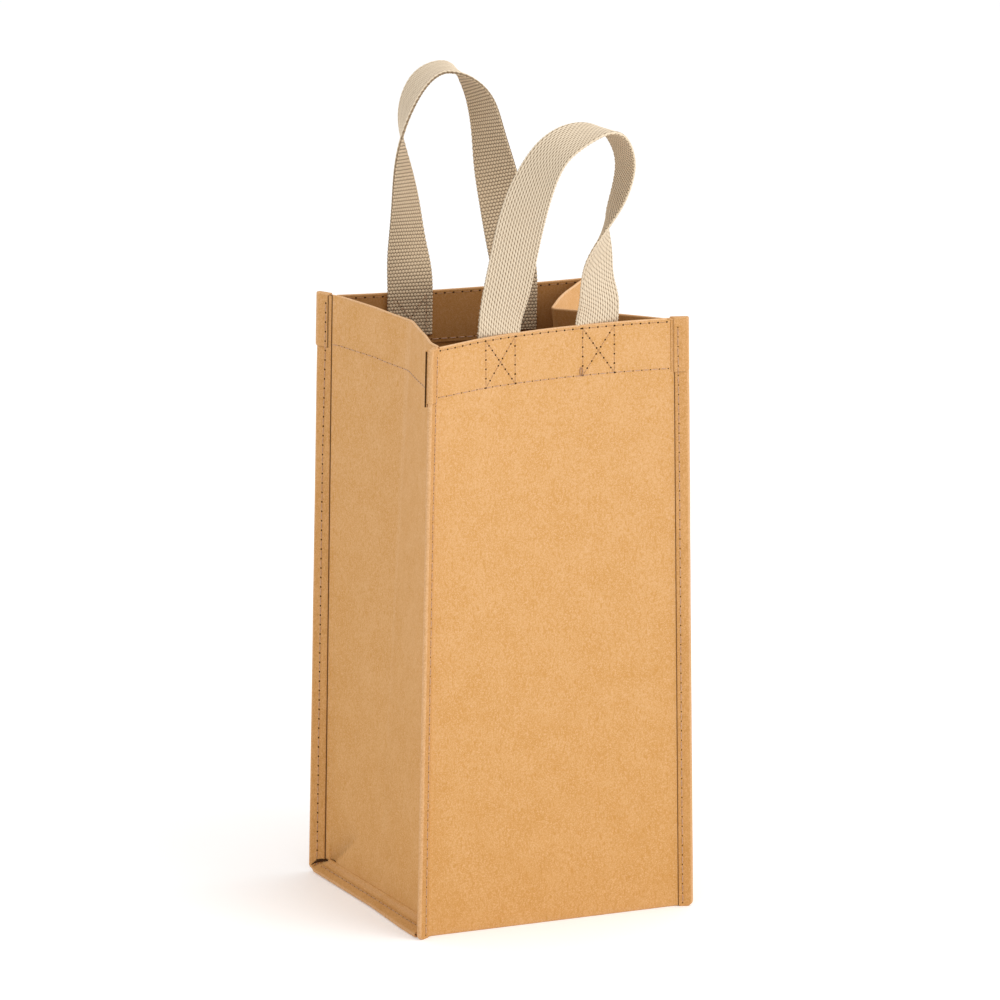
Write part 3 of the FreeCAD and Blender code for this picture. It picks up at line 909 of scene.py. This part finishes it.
    def hem_columns(self):
        found = [("crease", share) for share in (0.0, 0.33, 0.66)]
        found += [("side", share) for share in np.linspace(0.0, 1.0, 40)]
        found += [("fold", share) for share in (0.35, 0.7)]
        return found + [("flange", out) for out in (-3.6, -1.5, GUSSET_LEG_START)]

    def layered(self, column, z, depth):
        """A point at a depth inside the gusset's outer face."""
        part, value = column
        share = z / BAG_HEIGHT
        here = self.plan(part, value, share)
        nudge = 0.02
        step = self.plan(part, value + nudge, share) - self.plan(part, value - nudge, share)
        inward = left_of(unit(step)) * -self.sign()
        if part == "crease" and value == 0.0:
            inward = self.crown_inward(share)
        point = here + inward * depth
        return settled(point[0], point[1], z)

    def crown_inward(self, share):
        middle = place(self.crease, share)
        here = unit(place(self.corner, share) - middle)
        there = unit(place(self.other, share) - middle)
        across = unit(there - here)
        inward = left_of(across)
        outer = np.array((BASE_HALF_WIDTH * (-1.0 if self.side == "left" else 1.0), 0.0)) - middle
        return inward if inward @ outer < 0.0 else -inward

    def hem(self):
        piece = folded_hem(self.node, self.hem_columns(), self.layered)
        self.blended(piece)
        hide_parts(self.node + "_hem")
        width = np.linalg.norm(place(self.corner, 1.0) - place(self.crease, 1.0))

    def run(self, z):
        """The outer face at a height, from the crease's crown to the corner's fold."""
        columns = self.hem_columns()
        points = np.array([self.layered(column, z, 0.0) for column in columns])
        inner = np.array([self.layered(column, z, 1.0) for column in columns])
        return points, points - inner, distances(points)


# ---------------------------------------------------------------- bound seams

def tape_profile(start_near, start_far, reach, inner_low, inner_high, thickness):
    """A folded tape's cross-section round two layers, as (out, across) points."""
    low, high = inner_low - thickness, inner_high + thickness
    middle, half = (low + high) / 2.0, (high - low) / 2.0
    outer = [(start_near, inner_low)]
    outer += [(start_near - 0.12, inner_low - thickness * 0.5), (start_near + 0.15, low)]
    outer += [(out, low) for out in np.linspace(start_near + 0.8, reach - 1.2, 6)]
    turn_start = reach - 0.9
    for angle in np.linspace(-75.0, -20.0, 4):
        turned = heading(angle)
        outer.append((turn_start + 1.2 * turned[0], middle + half * turned[1]))
    outer += [(turn_start + 1.25, middle)]
    for angle in np.linspace(20.0, 75.0, 4):
        turned = heading(angle)
        outer.append((turn_start + 1.2 * turned[0], middle + half * turned[1]))
    outer += [(out, high) for out in np.linspace(reach - 1.2, start_far + 0.8, 6)]
    outer += [(start_far + 0.15, high), (start_far - 0.12, inner_high + thickness * 0.5)]
    outer += [(start_far, inner_high)]
    outer += [(reach - thickness, inner_high - 0.02), (reach - thickness, inner_low + 0.02)]
    return outer


def seam_point(corner, z, out, across):
    share = min(z / BAG_HEIGHT, 1.0)
    along_flange, to_gusset = seam_axes(corner, share)
    x, y = place(corner, share) + along_flange * out + to_gusset * across
    return settled(x, y, z)


def tape_piece(name, sections, body, node, wear_and_highlight=None, shade=None, material=None):
    """A run of binding tape, or a dark strip of painted shadow in one of the openings beside it."""
    values = {"wear_and_highlight": wear_and_highlight, "shade": shade or [0.0] * len(wear_and_highlight)} if wear_and_highlight else None
    piece = swept(name, sections, material or BINDING, values)
    belongs(piece, body, "binding_tape", node)


def quilting(out, line):
    """How far the seam's thread pulls the tape in beside its line."""
    return 0.12 * math.exp(-((out - line) / 0.7) ** 2)


def corner_binding(corner):
    """The folded tape over a corner seam, pulled in along its stitches."""
    profile = tape_profile(FRONT_LEG_START, GUSSET_LEG_START, FLANGE + TAPE, 0.0, 2.0 * SHEET, TAPE)
    sections, wear_and_highlight = [], []
    for z in steps(0.15, BAG_HEIGHT - 0.4, TAPE_STEP):
        line = seam_line(corner, z)
        waver = 0.16 * noise.noise(Vector((z * 0.03, line, 3.1)))
        rounding = rounded_end(z)
        section = []
        for out, across in profile:
            side = 1.0 if across > SHEET else -1.0
            inside = 0.0 <= across <= 2.0 * SHEET
            shift = 0.0 if inside else -side * quilting(out, line)
            far = max(0.0, out - 6.0) / 4.0
            height = z + foot_of(corner, out) * max(0.0, 1.0 - z / 20.0)
            place_out = out + waver * (out > 6.0) - rounding * far
            section.append(seam_point(corner, height, place_out, across + shift))
            # the tape's outer fold lighter: wear and painted highlight
            wear_and_highlight.append(0.55 if out > FLANGE - 0.35 else 0.06)
        sections.append(section)
    tape_piece(corner + "_tape", sections, CORNERS[corner]["body"], corner + "_binding", wear_and_highlight)


def corner_cap(corner):
    """The doubled tape over the top of the seam, closed over the rim."""
    proud, leg = CORNERS[corner]["cap"], CORNERS[corner]["cap_leg"]
    reach = FLANGE + TAPE + proud
    profile = tape_profile(FRONT_LEG_START - 0.5, leg, reach, -0.35, 2.0 * SHEET + 0.35, TAPE)
    low, high = BAG_HEIGHT - CAP_HEIGHT, BAG_HEIGHT + TAPE
    heights = [low, low + 0.5, low + 1.2] + steps(low + 2.0, BAG_HEIGHT - 0.3, TAPE_STEP)
    sections, wear_and_highlight = [], []
    for z in heights:
        line = seam_line(corner, z)
        cut = rounded_end(z - low, 1.6)
        section = []
        for out, across in profile:
            side = 1.0 if across > SHEET else -1.0
            far = max(0.0, out - 6.0) / 4.0
            pull = side * quilting(out, line) * 1.3
            section.append(seam_point(corner, z, out - cut * far, across - pull))
            wear_and_highlight.append(0.4 if out > FLANGE else 0.08)
        sections.append(section)
    shade = [0.0 if z > low else 0.5 for z in heights for _ in profile]
    for row_end in range(len(profile), len(shade) + 1, len(profile)):
        shade[row_end - 5:row_end - 2] = [CORNERS[corner]["cap_line"]] * 3
    body, node = CORNERS[corner]["body"], corner + "_cap"
    tape_piece(corner + "_seam_cap", sections, body, node, wear_and_highlight, shade)
    middle = (profile[0][0] + reach) / 2.0
    sections = []
    for z, size in ((BAG_HEIGHT - 0.5, 0.995), (high - 0.5, 0.995), (high - 0.2, 0.96), (high, 0.86)):
        sections.append([seam_point(corner, z, middle + (out - middle) * (1.0 + size) / 2.0,
                                    SHEET + (across - SHEET) * size) for out, across in profile[:-2]])
    tape_piece(corner + "_cap_top", sections, body, node, [0.35] * len(sections) * len(sections[0]))


def cap_gap(corner):
    """The second fold of the front left cap, and a dark strip of painted shadow in the slot along its outer
    edge.
    """
    near = 2.0 * SHEET + TAPE + 0.8
    layer = (1.0, CAP_GAP_REACH - 0.08, near - 0.4, near + 1.0, BAG_HEIGHT - 0.3, BINDING, "_cap_fold")
    # the slot's strip is painted shadow
    slot = (CAP_GAP_REACH - 0.5, CAP_GAP_REACH, near, near + 0.9, BAG_HEIGHT - 0.6, HOLE_AND_GAP_SHADE, "_cap_slot_shadow")
    for inner, outer, low, high, top, material, name in (layer, slot):
        outline = ((inner, low), (outer, low), (outer, high), (inner, high))
        sections = [[seam_point(corner, z, out, across) for out, across in outline]
                    for z in steps(BAG_HEIGHT - CAP_HEIGHT - 1.6, top, 2.0)]
        tape_piece(corner + name, sections, CORNERS[corner]["body"], corner + "_cap",
                   [0.0] * len(sections) * len(outline), material=material)


def foot_gap_shadow(corner):
    """A dark strip of painted shadow in the curved opening under a rear seam's slanted foot."""
    sections = []
    for share in np.linspace(0.0, 1.0, 14):
        out = -1.6 + 9.8 * share
        size = 0.12 + 0.85 * math.sin(math.pi * share)
        z, across = foot_of(corner, out) + 0.3, 2.0 * SHEET + TAPE + 0.1
        sections.append([seam_point(corner, z + size * turned[1], out, across + 0.6 * turned[0])
                         for turned in (heading(angle) for angle in range(0, 360, 45))])
    tape_piece(corner + "_foot_gap_shadow", sections, CORNERS[corner]["body"], corner + "_binding", material=HOLE_AND_GAP_SHADE)


# ---------------------------------------------------------------- base

def side_point(side, y, out, across):
    """A point of the side seam, whose flange is wider and flatter towards the front."""
    front = min(1.0, max(0.0, (-5.0 - y) / 45.0))
    drop = math.radians(SIDE_FLANGE_DROP - 8.0 * front)
    reach = out * (1.0 + 0.22 * front)
    x = BASE_HALF_WIDTH + reach * math.cos(drop) + across * math.sin(drop)
    z = SIDE_SEAM_HEIGHT - reach * math.sin(drop) + across * math.cos(drop)
    return np.array((side * x, y, z))


def tuck(y):
    """The small folded tuck in a side seam where the gusset's crease ends."""
    return 0.55 * math.exp(-((y + 8.0) / 1.7) ** 2) - 0.3 * math.exp(-((y + 11.0) / 1.4) ** 2)


def side_allowance(side, name):
    """The gusset's foot: down to the seam, then outward under the tape."""
    lengthwise = steps(-SIDE_REACH, SIDE_FOOT_REACH, 1.3)
    levels = 13
    grid = [[] for _ in range(levels)]
    for y in lengthwise:
        corner_out = side_point(1, y, 0.0, 2.0 * SHEET)
        start = np.array((BASE_HALF_WIDTH, y, 8.3))
        control = np.array((BASE_HALF_WIDTH, y, corner_out[2] - 0.1))
        end = side_point(1, y, 1.1, 2.0 * SHEET)
        path = [np.array((BASE_HALF_WIDTH, y, GUSSET_FOOT)), start]
        path += [bend(start, control, end, share) for share in (0.25, 0.5, 0.75, 1.0)]
        path += [side_point(1, y, out, 2.0 * SHEET) for out in np.linspace(1.8, SIDE_FLANGE - 0.6, 7)]
        for index, (x, _, z) in enumerate(path):
            bump = tuck(y) * min(1.0, index / 4.0) * (1.0 if index < 9 else 0.4)
            grid[index].append((side * (x + bump * 0.7), y, z + bump * 0.4))
    wear_and_highlight = [[0.3 * math.exp(-(index - 4) ** 2 / 2.0)] * len(lengthwise) for index in range(levels)]
    shade = [[0.9 if index == 8 else 0.0] * len(lengthwise) for index in range(levels)]
    piece = slab(name + "_gusset_foot", grid, 0.0, SHEET * side, {"wear_and_highlight": wear_and_highlight, "shade": shade})
    belongs(piece, "base", "kraft_sheet", name + "_gusset_bottom_allowance")


def side_binding(side, name):
    """The folded tape along a side of the base."""
    edge = SIDE_FLANGE + TAPE - 0.15
    profile = tape_profile(GUSSET_LEG_START, SIDE_LEG_START, edge, 0.0, 2.0 * SHEET, TAPE)
    sections, wear_and_highlight = [], []
    for y in steps(-SIDE_REACH, SIDE_REAR_REACH, TAPE_STEP):
        cut = rounded_end(SIDE_REAR_REACH - y, 2.5)
        section = []
        for out, across in profile:
            inside = 0.0 <= across <= 2.0 * SHEET
            pull = 0.0 if inside else quilting(out, SIDE_STITCH)
            outward = 1.0 if across > SHEET else -1.0
            bump = tuck(y) * 0.5 if across > SHEET else 0.0
            far = max(0.0, out - 5.0) / 3.5
            point = side_point(side, y, out - cut * far, across - outward * pull + bump)
            point[2] = max(point[2], 0.05)
            section.append(point)
            wear_and_highlight.append(0.4 if out > SIDE_FLANGE - 0.5 else 0.05)
        sections.append(section)
    tape_piece(name + "_bottom_tape", sections, "base", name + "_bottom_binding", wear_and_highlight)


def bottom_sheet():
    """The base: flat on the floor, lifting to the side seams."""
    lift_start = BASE_HALF_WIDTH - 9.0
    tip = side_point(1, 0.0, SIDE_FLANGE, 0.0)
    seam = side_point(1, 0.0, 0.0, 0.0)
    half = [(x, 0.0) for x in steps(0.0, lift_start - 3.0, 5.0)]
    half += [(lift_start, 0.35), (lift_start + 3.0, 1.9), (lift_start + 6.0, 4.0)]
    half += [(seam[0] - 1.2, seam[2] - 0.9), (seam[0], seam[2] - 0.35)]
    half += [(seam[0] + 1.0, seam[2] - 1.0), (tip[0], tip[2])]
    path = [(-x, z) for x, z in half[::-1]] + half[1:]
    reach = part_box("bottom_panel")[1].y / MM
    lengthwise = steps(-reach, reach, 3.0)
    grid = []
    for x, z in path:
        trimmed = abs(x) > BASE_HALF_WIDTH - 1.2
        row = []
        for y in lengthwise:
            limit = SIDE_REACH if trimmed else reach
            ripple_up = 0.12 * (1.0 + noise.noise(Vector((x * 0.03, y * 0.03, 1.0)))) if z < 0.1 else 0.0
            row.append((x, max(-limit, min(limit, y)), z + ripple_up))
        grid.append(row)
    zero = np.zeros((len(path), len(lengthwise)))
    piece = slab("base_sheet", grid, 0.0, -SHEET, {"wear_and_highlight": zero, "shade": zero})
    belongs(piece, "base", "kraft_sheet", "bottom_panel")


# ---------------------------------------------------------------- handles

def smooth_curve(points, samples):
    """A smooth curve through points of any dimension, evenly sampled by length."""
    points = np.asarray(points, float)
    chords = distances(points[:, :3])
    count = len(points)
    system, right = np.zeros((count, count)), np.zeros_like(points)
    gaps = np.diff(chords)
    system[0, 0] = system[-1, -1] = 1.0
    for i in range(1, count - 1):
        system[i, i - 1:i + 2] = gaps[i - 1], 2.0 * (gaps[i - 1] + gaps[i]), gaps[i]
        slope = (points[i + 1] - points[i]) / gaps[i] - (points[i] - points[i - 1]) / gaps[i - 1]
        right[i] = 6.0 * slope
    curvature = np.linalg.solve(system, right)
    result = []
    for value in np.linspace(0.0, chords[-1], samples):
        i = min(int(np.searchsorted(chords, value, side="right")) - 1, count - 2)
        gap = gaps[i]
        a, b = (chords[i + 1] - value) / gap, (value - chords[i]) / gap
        point = a * points[i] + b * points[i + 1]
        point = point + ((a ** 3 - a) * curvature[i] + (b ** 3 - b) * curvature[i + 1]) * gap ** 2 / 6.0
        result.append(point)
    return np.array(result)


def weave_crown(across, along, inner):
    """Height of the webbing's floats, 1 on a float and 0 between floats."""
    if inner:
        rib_place = (across + (math.floor(along) % 2) * 0.5) % 1.0 - 0.5
        row_place = along % 1.0 - 0.5
        rib_share, row_share = INNER_SHARES
    else:
        fine = across * FINE_RIBS
        rib_place = fine % 1.0 - 0.5
        row = along * PICK / FLOAT_LENGTH + rib_place * FLOAT_SLANT + (math.floor(fine) % 2) * 0.5
        row_place = row % 1.0 - 0.5
        rib_share, row_share = OUTER_SHARES
    crown = 1.0 - 4.0 * (rib_share * rib_place ** 2 + row_share * row_place ** 2)
    return max(0.0, min(1.0, (crown + 0.5) / 1.5))


def strap_route(panel, loop, lean, along, inward):
    """The strap's middle line with its twist, and the place where its loop starts."""
    upward = np.array((0.0, 0.0, math.cos(math.radians(lean))))
    lift = -inward * math.sin(math.radians(lean)) + upward
    bow = panel.bow * (1.0 - (2.0 * LEG_OFFSET / panel.width(1.0)) ** 2)
    middle = np.array((*((place(panel.left, 1.0) + place(panel.right, 1.0)) / 2.0), BAG_HEIGHT))
    root = middle - along * LEG_OFFSET + inward * (bow + 2.0 * SHEET + STRAP_THICKNESS / 2.0)

    def sewn(leg, drops, twist):
        depth = 2.0 * SHEET + 0.1 + STRAP_THICKNESS / 2.0
        for drop in drops:
            x, y, _ = panel.spot(leg, BAG_HEIGHT - drop, depth)[0]
            yield x, y, BAG_HEIGHT - drop, twist
    route = [*sewn(-LEG_OFFSET, SEWN_DROPS, 0.0)]
    route += [(*(root + along * step + lift * rise), twist) for step, rise, twist in loop]
    return route + [*sewn(LEG_OFFSET, SEWN_DROPS[::-1], 180.0)], root


def handle(panel, loop, lean, seed):
    """One webbing strap, from one sewn end round the loop to the other."""
    along = np.array((*unit(place(panel.right, 1.0) - place(panel.left, 1.0)), 0.0))
    inward = np.array((*panel.inward(1.0), 0.0))
    outward = -inward
    route, root = strap_route(panel, loop, lean, along, inward)
    stations = 720
    line = smooth_curve(route, stations)
    centre, twist = line[:, :3], line[:, 3]
    tangent = np.gradient(centre, axis=0)
    tangent /= np.linalg.norm(tangent, axis=1, keepdims=True)
    travelled = distances(centre)
    columns = np.linspace(0.0, 1.0, RIBS * 4 + 1)
    points, across_values, along_values = [], [], []
    for station in range(stations):
        turn = math.radians(twist[station])
        across = along * math.cos(turn) + outward * math.sin(turn)
        across = unit(across - tangent[station] * (across @ tangent[station]))
        normal = np.cross(tangent[station], across)
        sway = 0.35 * noise.noise(Vector((travelled[station] * 0.035, seed, 0.0)))
        row = travelled[station] / PICK
        pinch = 1.0 - 0.012 * math.cos(2.0 * math.pi * row)
        for face_side in (-1.0, 1.0):
            order = columns if face_side < 0 else columns[::-1]
            for value in order:
                offset = (value - 0.5) * STRAP_WIDTH * pinch
                inner = (face_side > 0.0) == (panel.turn > 0.0)
                crown = weave_crown(value * RIBS, row, inner)
                edge = min(value, 1.0 - value) * STRAP_WIDTH
                selvedge = 0.25 * math.exp(-((edge - 1.0) / 0.7) ** 2) - 0.35 * math.exp(-edge / 0.35)
                half = STRAP_THICKNESS / 2.0 + WEAVE_HEIGHT * (crown - 0.6) + selvedge
                bulge = sway * math.sin(math.pi * value)
                points.append(centre[station] + across * offset + normal * (face_side * half + bulge))
                across_values.append(value * RIBS)
                along_values.append(row)
    half_ring, ring = len(columns), 2 * len(columns)
    faces = tube(0, stations, ring)
    kinds = [int((j >= half_ring) == (panel.turn > 0.0)) for j in range(ring)] * (stations - 1)
    for base in (0, (stations - 1) * ring):
        for j in range(half_ring - 1):
            quad = (base + j, base + j + 1, base + ring - 2 - j, base + ring - 1 - j)
            faces.append(quad[::-1] if base == 0 else quad)
            kinds.append(0)
    values = {"weave_across": across_values, "weave_along": along_values}
    piece = finished(panel.name + "_handle", points, faces, [WEBBING, WEBBING_INNER], values, sharp=180.0)
    piece.data.polygons.foreach_set("material_index", kinds)
    rim = Vector((*root[:2], 0.0)) * MM
    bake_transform(piece)
    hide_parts(panel.name + "_handle_loop", panel.name + "_handle_left_end",
                panel.name + "_handle_right_end")


# ---------------------------------------------------------------- stitches

class Stitching:
    """Collects the stitches and needle holes of one run of thread."""

    def __init__(self, radius=THREAD_RADIUS, hole_size=1.0):
        self.radius = radius
        self.hole_radius = HOLE_RADIUS * hole_size
        self.points = []
        self.faces = []
        self.kinds = []

    def ring(self, centre, side, outward, radius, sides):
        for j in range(sides):
            turn = 2.0 * math.pi * j / sides
            self.points.append(centre + (side * math.cos(turn) + outward * math.sin(turn)) * radius)

    def skin(self, faces, kind):
        self.faces += faces
        self.kinds += [kind] * len(faces)

    def stitch(self, start, end, outward, slack):
        """One stitch: a thread that dives into its hole at each end."""
        first = len(self.points)
        along = end - start
        side = unit(np.cross(outward, along))
        stations, sides = 7, 6
        for share in (i / (stations - 1) for i in range(stations)):
            rise = 0.13 - 0.62 * abs(2.0 * share - 1.0) ** 4
            sway = side * slack * math.sin(math.pi * share)
            self.ring(start + along * share + outward * rise + sway, side, outward, self.radius, sides)
        ends = [tuple(first + j for j in range(sides - 1, -1, -1))]
        ends.append(tuple(first + (stations - 1) * sides + j for j in range(sides)))
        self.skin(tube(first, stations, sides) + ends, 0)

    def hole(self, centre, outward, along):
        """A needle hole: a dark dimple with a raised lip."""
        first = len(self.points)
        side = unit(np.cross(outward, along))
        forward = np.cross(side, outward)
        sides = 10
        for radius, rise in ((1.25, -0.04), (1.0, 0.1), (0.45, 0.07)):
            for j in range(sides):
                turn = 2.0 * math.pi * j / sides
                ring = side * math.cos(turn) * 0.85 + forward * math.sin(turn)
                self.points.append(centre + ring * self.hole_radius * radius + outward * rise)
        floor = tuple(first + 2 * sides + j for j in range(sides))
        self.skin(tube(first, 3, sides) + [floor], 1)

    def row(self, spot, length, pitch, slack=0.0, seed=0.0):
        """Stitches along spot(distance), which gives a point and its outward side."""
        count = max(1, int(round(length / pitch)))
        size = length / count
        gap = 0.42
        places = [spot(size * index) for index in range(count + 1)]
        for index in range(count):
            start, outward = spot(size * index + gap)
            end, _ = spot(size * (index + 1) - gap)
            lean = slack * noise.noise(Vector((index * 1.7, seed, 0.4)))
            self.stitch(start, end, outward, lean)
        for index, (point, outward) in enumerate(places):
            there = places[index + 1][0] if index < count else point * 2.0 - places[index - 1][0]
            self.hole(point, outward, unit(there - point))

    def strand(self, spots, outward, radius):
        """A thread along a line of points."""
        first, sides = len(self.points), 6
        spots = np.array(spots)
        tangents = np.gradient(spots, axis=0)
        for spot, tangent in zip(spots, tangents):
            self.ring(spot, unit(np.cross(outward, tangent)), outward, radius, sides)
        self.skin(tube(first, len(spots), sides), 0)

    def piece(self, name, thread_material):
        made = finished(name, self.points, self.faces, [thread_material, HOLE_AND_GAP_SHADE], sharp=70.0)
        made.data.polygons.foreach_set("material_index", self.kinds)
        return made


def panel_row(panel, name, drop, inset, thread_material, radius, hole_size):
    """A row across a panel, showing on its face and on the hem inside."""
    z = BAG_HEIGHT - drop
    half = panel.width(z / BAG_HEIGHT) / 2.0 - inset
    thread_run = Stitching(radius, hole_size)
    thread_run.row(lambda distance: panel.spot(distance - half, z), 2.0 * half, ROW_PITCH, 0.2, drop)
    thread_run.row(lambda distance: panel.inner_spot(distance - half, z, HEM_FACE), 2.0 * half, ROW_PITCH)
    piece = thread_run.piece(panel.name + name, thread_material)
    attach(piece, panel.body)
    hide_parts(panel.name + name.replace("_thread", "_stitching"))


def on_line(spot_at, start, end, length, *depth):
    """Turns a panel's spots into places along a straight line on it."""
    return lambda distance: spot_at(*(start + (end - start) * distance / length), *depth)


def stitch_box(panel, side, side_name):
    """The boxed cross that holds one leg of a handle, on both of its faces."""
    low, high = BAG_HEIGHT - HEM_ROW_DROP, BAG_HEIGHT - RIM_ROW_DROP
    left, right = side * LEG_OFFSET - BOX_WIDTH / 2.0, side * LEG_OFFSET + BOX_WIDTH / 2.0
    lines = [((left, low), (left, high), 4.9), ((right, low), (right, high), 4.9)]
    lines += [((left, high), (right, low), 3.5), ((left, low), (right, high), 4.3)]
    thread_run, strap_run = Stitching(FINE_THREAD_RADIUS), Stitching(FINE_THREAD_RADIUS, 0.55)
    for start, end, pitch in lines:
        start, end = np.array(start), np.array(end)
        length = np.linalg.norm(end - start)
        thread_run.row(on_line(panel.spot, start, end, length), length, pitch, 0.12, left)
        strap_run.row(on_line(panel.inner_spot, start, end, length, STRAP_FACE), length, pitch, 0.12, right)
    if panel.name == "front" and side > 0:
        loose_loop(thread_run, panel, left, low)
    for run, face in ((thread_run, "_box_thread"), (strap_run, "_box_strap_thread")):
        piece = run.piece(panel.name + "_" + side_name + face, BROWN_THREAD)
        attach(piece, panel.body)
        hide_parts(panel.name + "_" + side_name + "_stitch_box")


def loose_loop(thread_run, panel, left, low):
    """A small slack loop of thread at the foot of a box."""
    spots = []
    for turn in np.linspace(-100.0, 250.0, 15):
        step = heading(turn)
        here, outward = panel.spot(left - 0.9 + 0.75 * step[0], low + 2.2 + 2.3 * step[1])
        spots.append(here + outward * 0.32)
    thread_run.strand(spots, outward, 0.3)


def corner_thread(corner):
    """The seam's thread on both faces of the binding and of its cap."""
    cap_low = BAG_HEIGHT - CAP_HEIGHT
    thread_run = Stitching(hole_size=0.6 if corner.startswith("front") else 0.9)
    for side, face in ((-1.0, -TAPE), (1.0, 2.0 * SHEET + TAPE)):

        def spot(distance, side=side, face=face):
            z = 2.0 + distance
            _, to_gusset = seam_axes(corner, z / BAG_HEIGHT)
            lift = 0.35 if z > cap_low else 0.0
            line = seam_line(corner, z)
            return seam_point(corner, z, line, face + side * lift), np.array((*(to_gusset * side), 0.0))
        thread_run.row(spot, BAG_HEIGHT - 7.0, SEAM_PITCH, 0.15, side)
    piece = thread_run.piece(corner + "_seam_thread", THREAD)
    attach(piece, CORNERS[corner]["body"])
    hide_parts(corner + "_binding_stitching")


def side_thread(side, name):
    thread_run = Stitching(hole_size=0.55)
    drop = math.radians(SIDE_FLANGE_DROP)
    outward = np.array((side * math.sin(drop), 0.0, math.cos(drop)))

    def spot(distance):
        y = distance - SIDE_REACH + 1.5
        return side_point(side, y, SIDE_STITCH, 2.0 * SHEET + TAPE - 0.06 + tuck(y) * 0.5), outward
    thread_run.row(spot, 2.0 * SIDE_REACH - 3.0, SEAM_PITCH, 0.15, side)
    piece = thread_run.piece(name + "_bottom_thread", BROWN_THREAD)
    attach(piece, "base")
    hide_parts(name + "_bottom_binding_stitching")


def gusset_thread(half):
    """The hem's row of stitches round one half of a gusset."""
    points, outwards, lengths = half.run(BAG_HEIGHT - HEM_ROW_DROP)

    def spot(distance):
        here = np.array([np.interp(distance, lengths, points[:, axis]) for axis in range(3)])
        outward = np.array([np.interp(distance, lengths, outwards[:, axis]) for axis in range(3)])
        return here, unit(outward)
    thread_run = Stitching(hole_size=0.6)
    thread_run.row(spot, lengths[-1] - 0.4, ROW_PITCH, 0.2, half.seed)
    piece = thread_run.piece(half.node + "_hem_thread", THREAD)
    half.blended(piece)
    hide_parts(half.side + "_gusset_hem_stitching")


# ---------------------------------------------------------------- the whole bag

camera()
stage_and_light()

front = Panel("front", "front_left", "front_right", 1.0, FRONT_BOW, 2.0, "front_panel")
back = Panel("back", "rear_left", "rear_right", -1.0, BACK_BOW, 9.0, "back_panel")
for panel in (front, back):
    panel.sheet()
    panel.hem()
    panel_row(panel, "_rim_thread", RIM_ROW_DROP, 1.6, BROWN_THREAD, FINE_THREAD_RADIUS, 1.0)
    panel_row(panel, "_hem_thread", HEM_ROW_DROP, 1.0, THREAD, THREAD_RADIUS, 0.7)
    for side, side_name in ((-1.0, "left"), (1.0, "right")):
        stitch_box(panel, side, side_name)

cap_gap("front_left")
foot_gap_shadow("rear_left")
foot_gap_shadow("rear_right")
for corner in CORNERS:
    corner_binding(corner)
    corner_cap(corner)
    corner_thread(corner)

halves = [
    GussetHalf("left", "front_left", "rear_left", "front_panel", 4.0, 0.0, 4.0, -2.2),
    GussetHalf("left", "rear_left", "front_left", "back_panel", 4.0, -0.6, 5.0),
    GussetHalf("right", "front_right", "rear_right", "front_panel", 3.0, 1.0, 6.0),
    GussetHalf("right", "rear_right", "front_right", "back_panel", 3.0, 1.6, 7.0),
]
for half in halves:
    half.half()
    half.hem()
    gusset_thread(half)

for side, side_name in ((-1.0, "left"), (1.0, "right")):
    side_allowance(side, side_name)
    side_binding(side, side_name)
    side_thread(side, side_name)
bottom_sheet()

handle(front, FRONT_LOOP, FRONT_LEAN, 1.0)
handle(back, REAR_LOOP, REAR_LEAN, 5.0)

bpy.context.scene.view_settings.view_transform = "Standard"
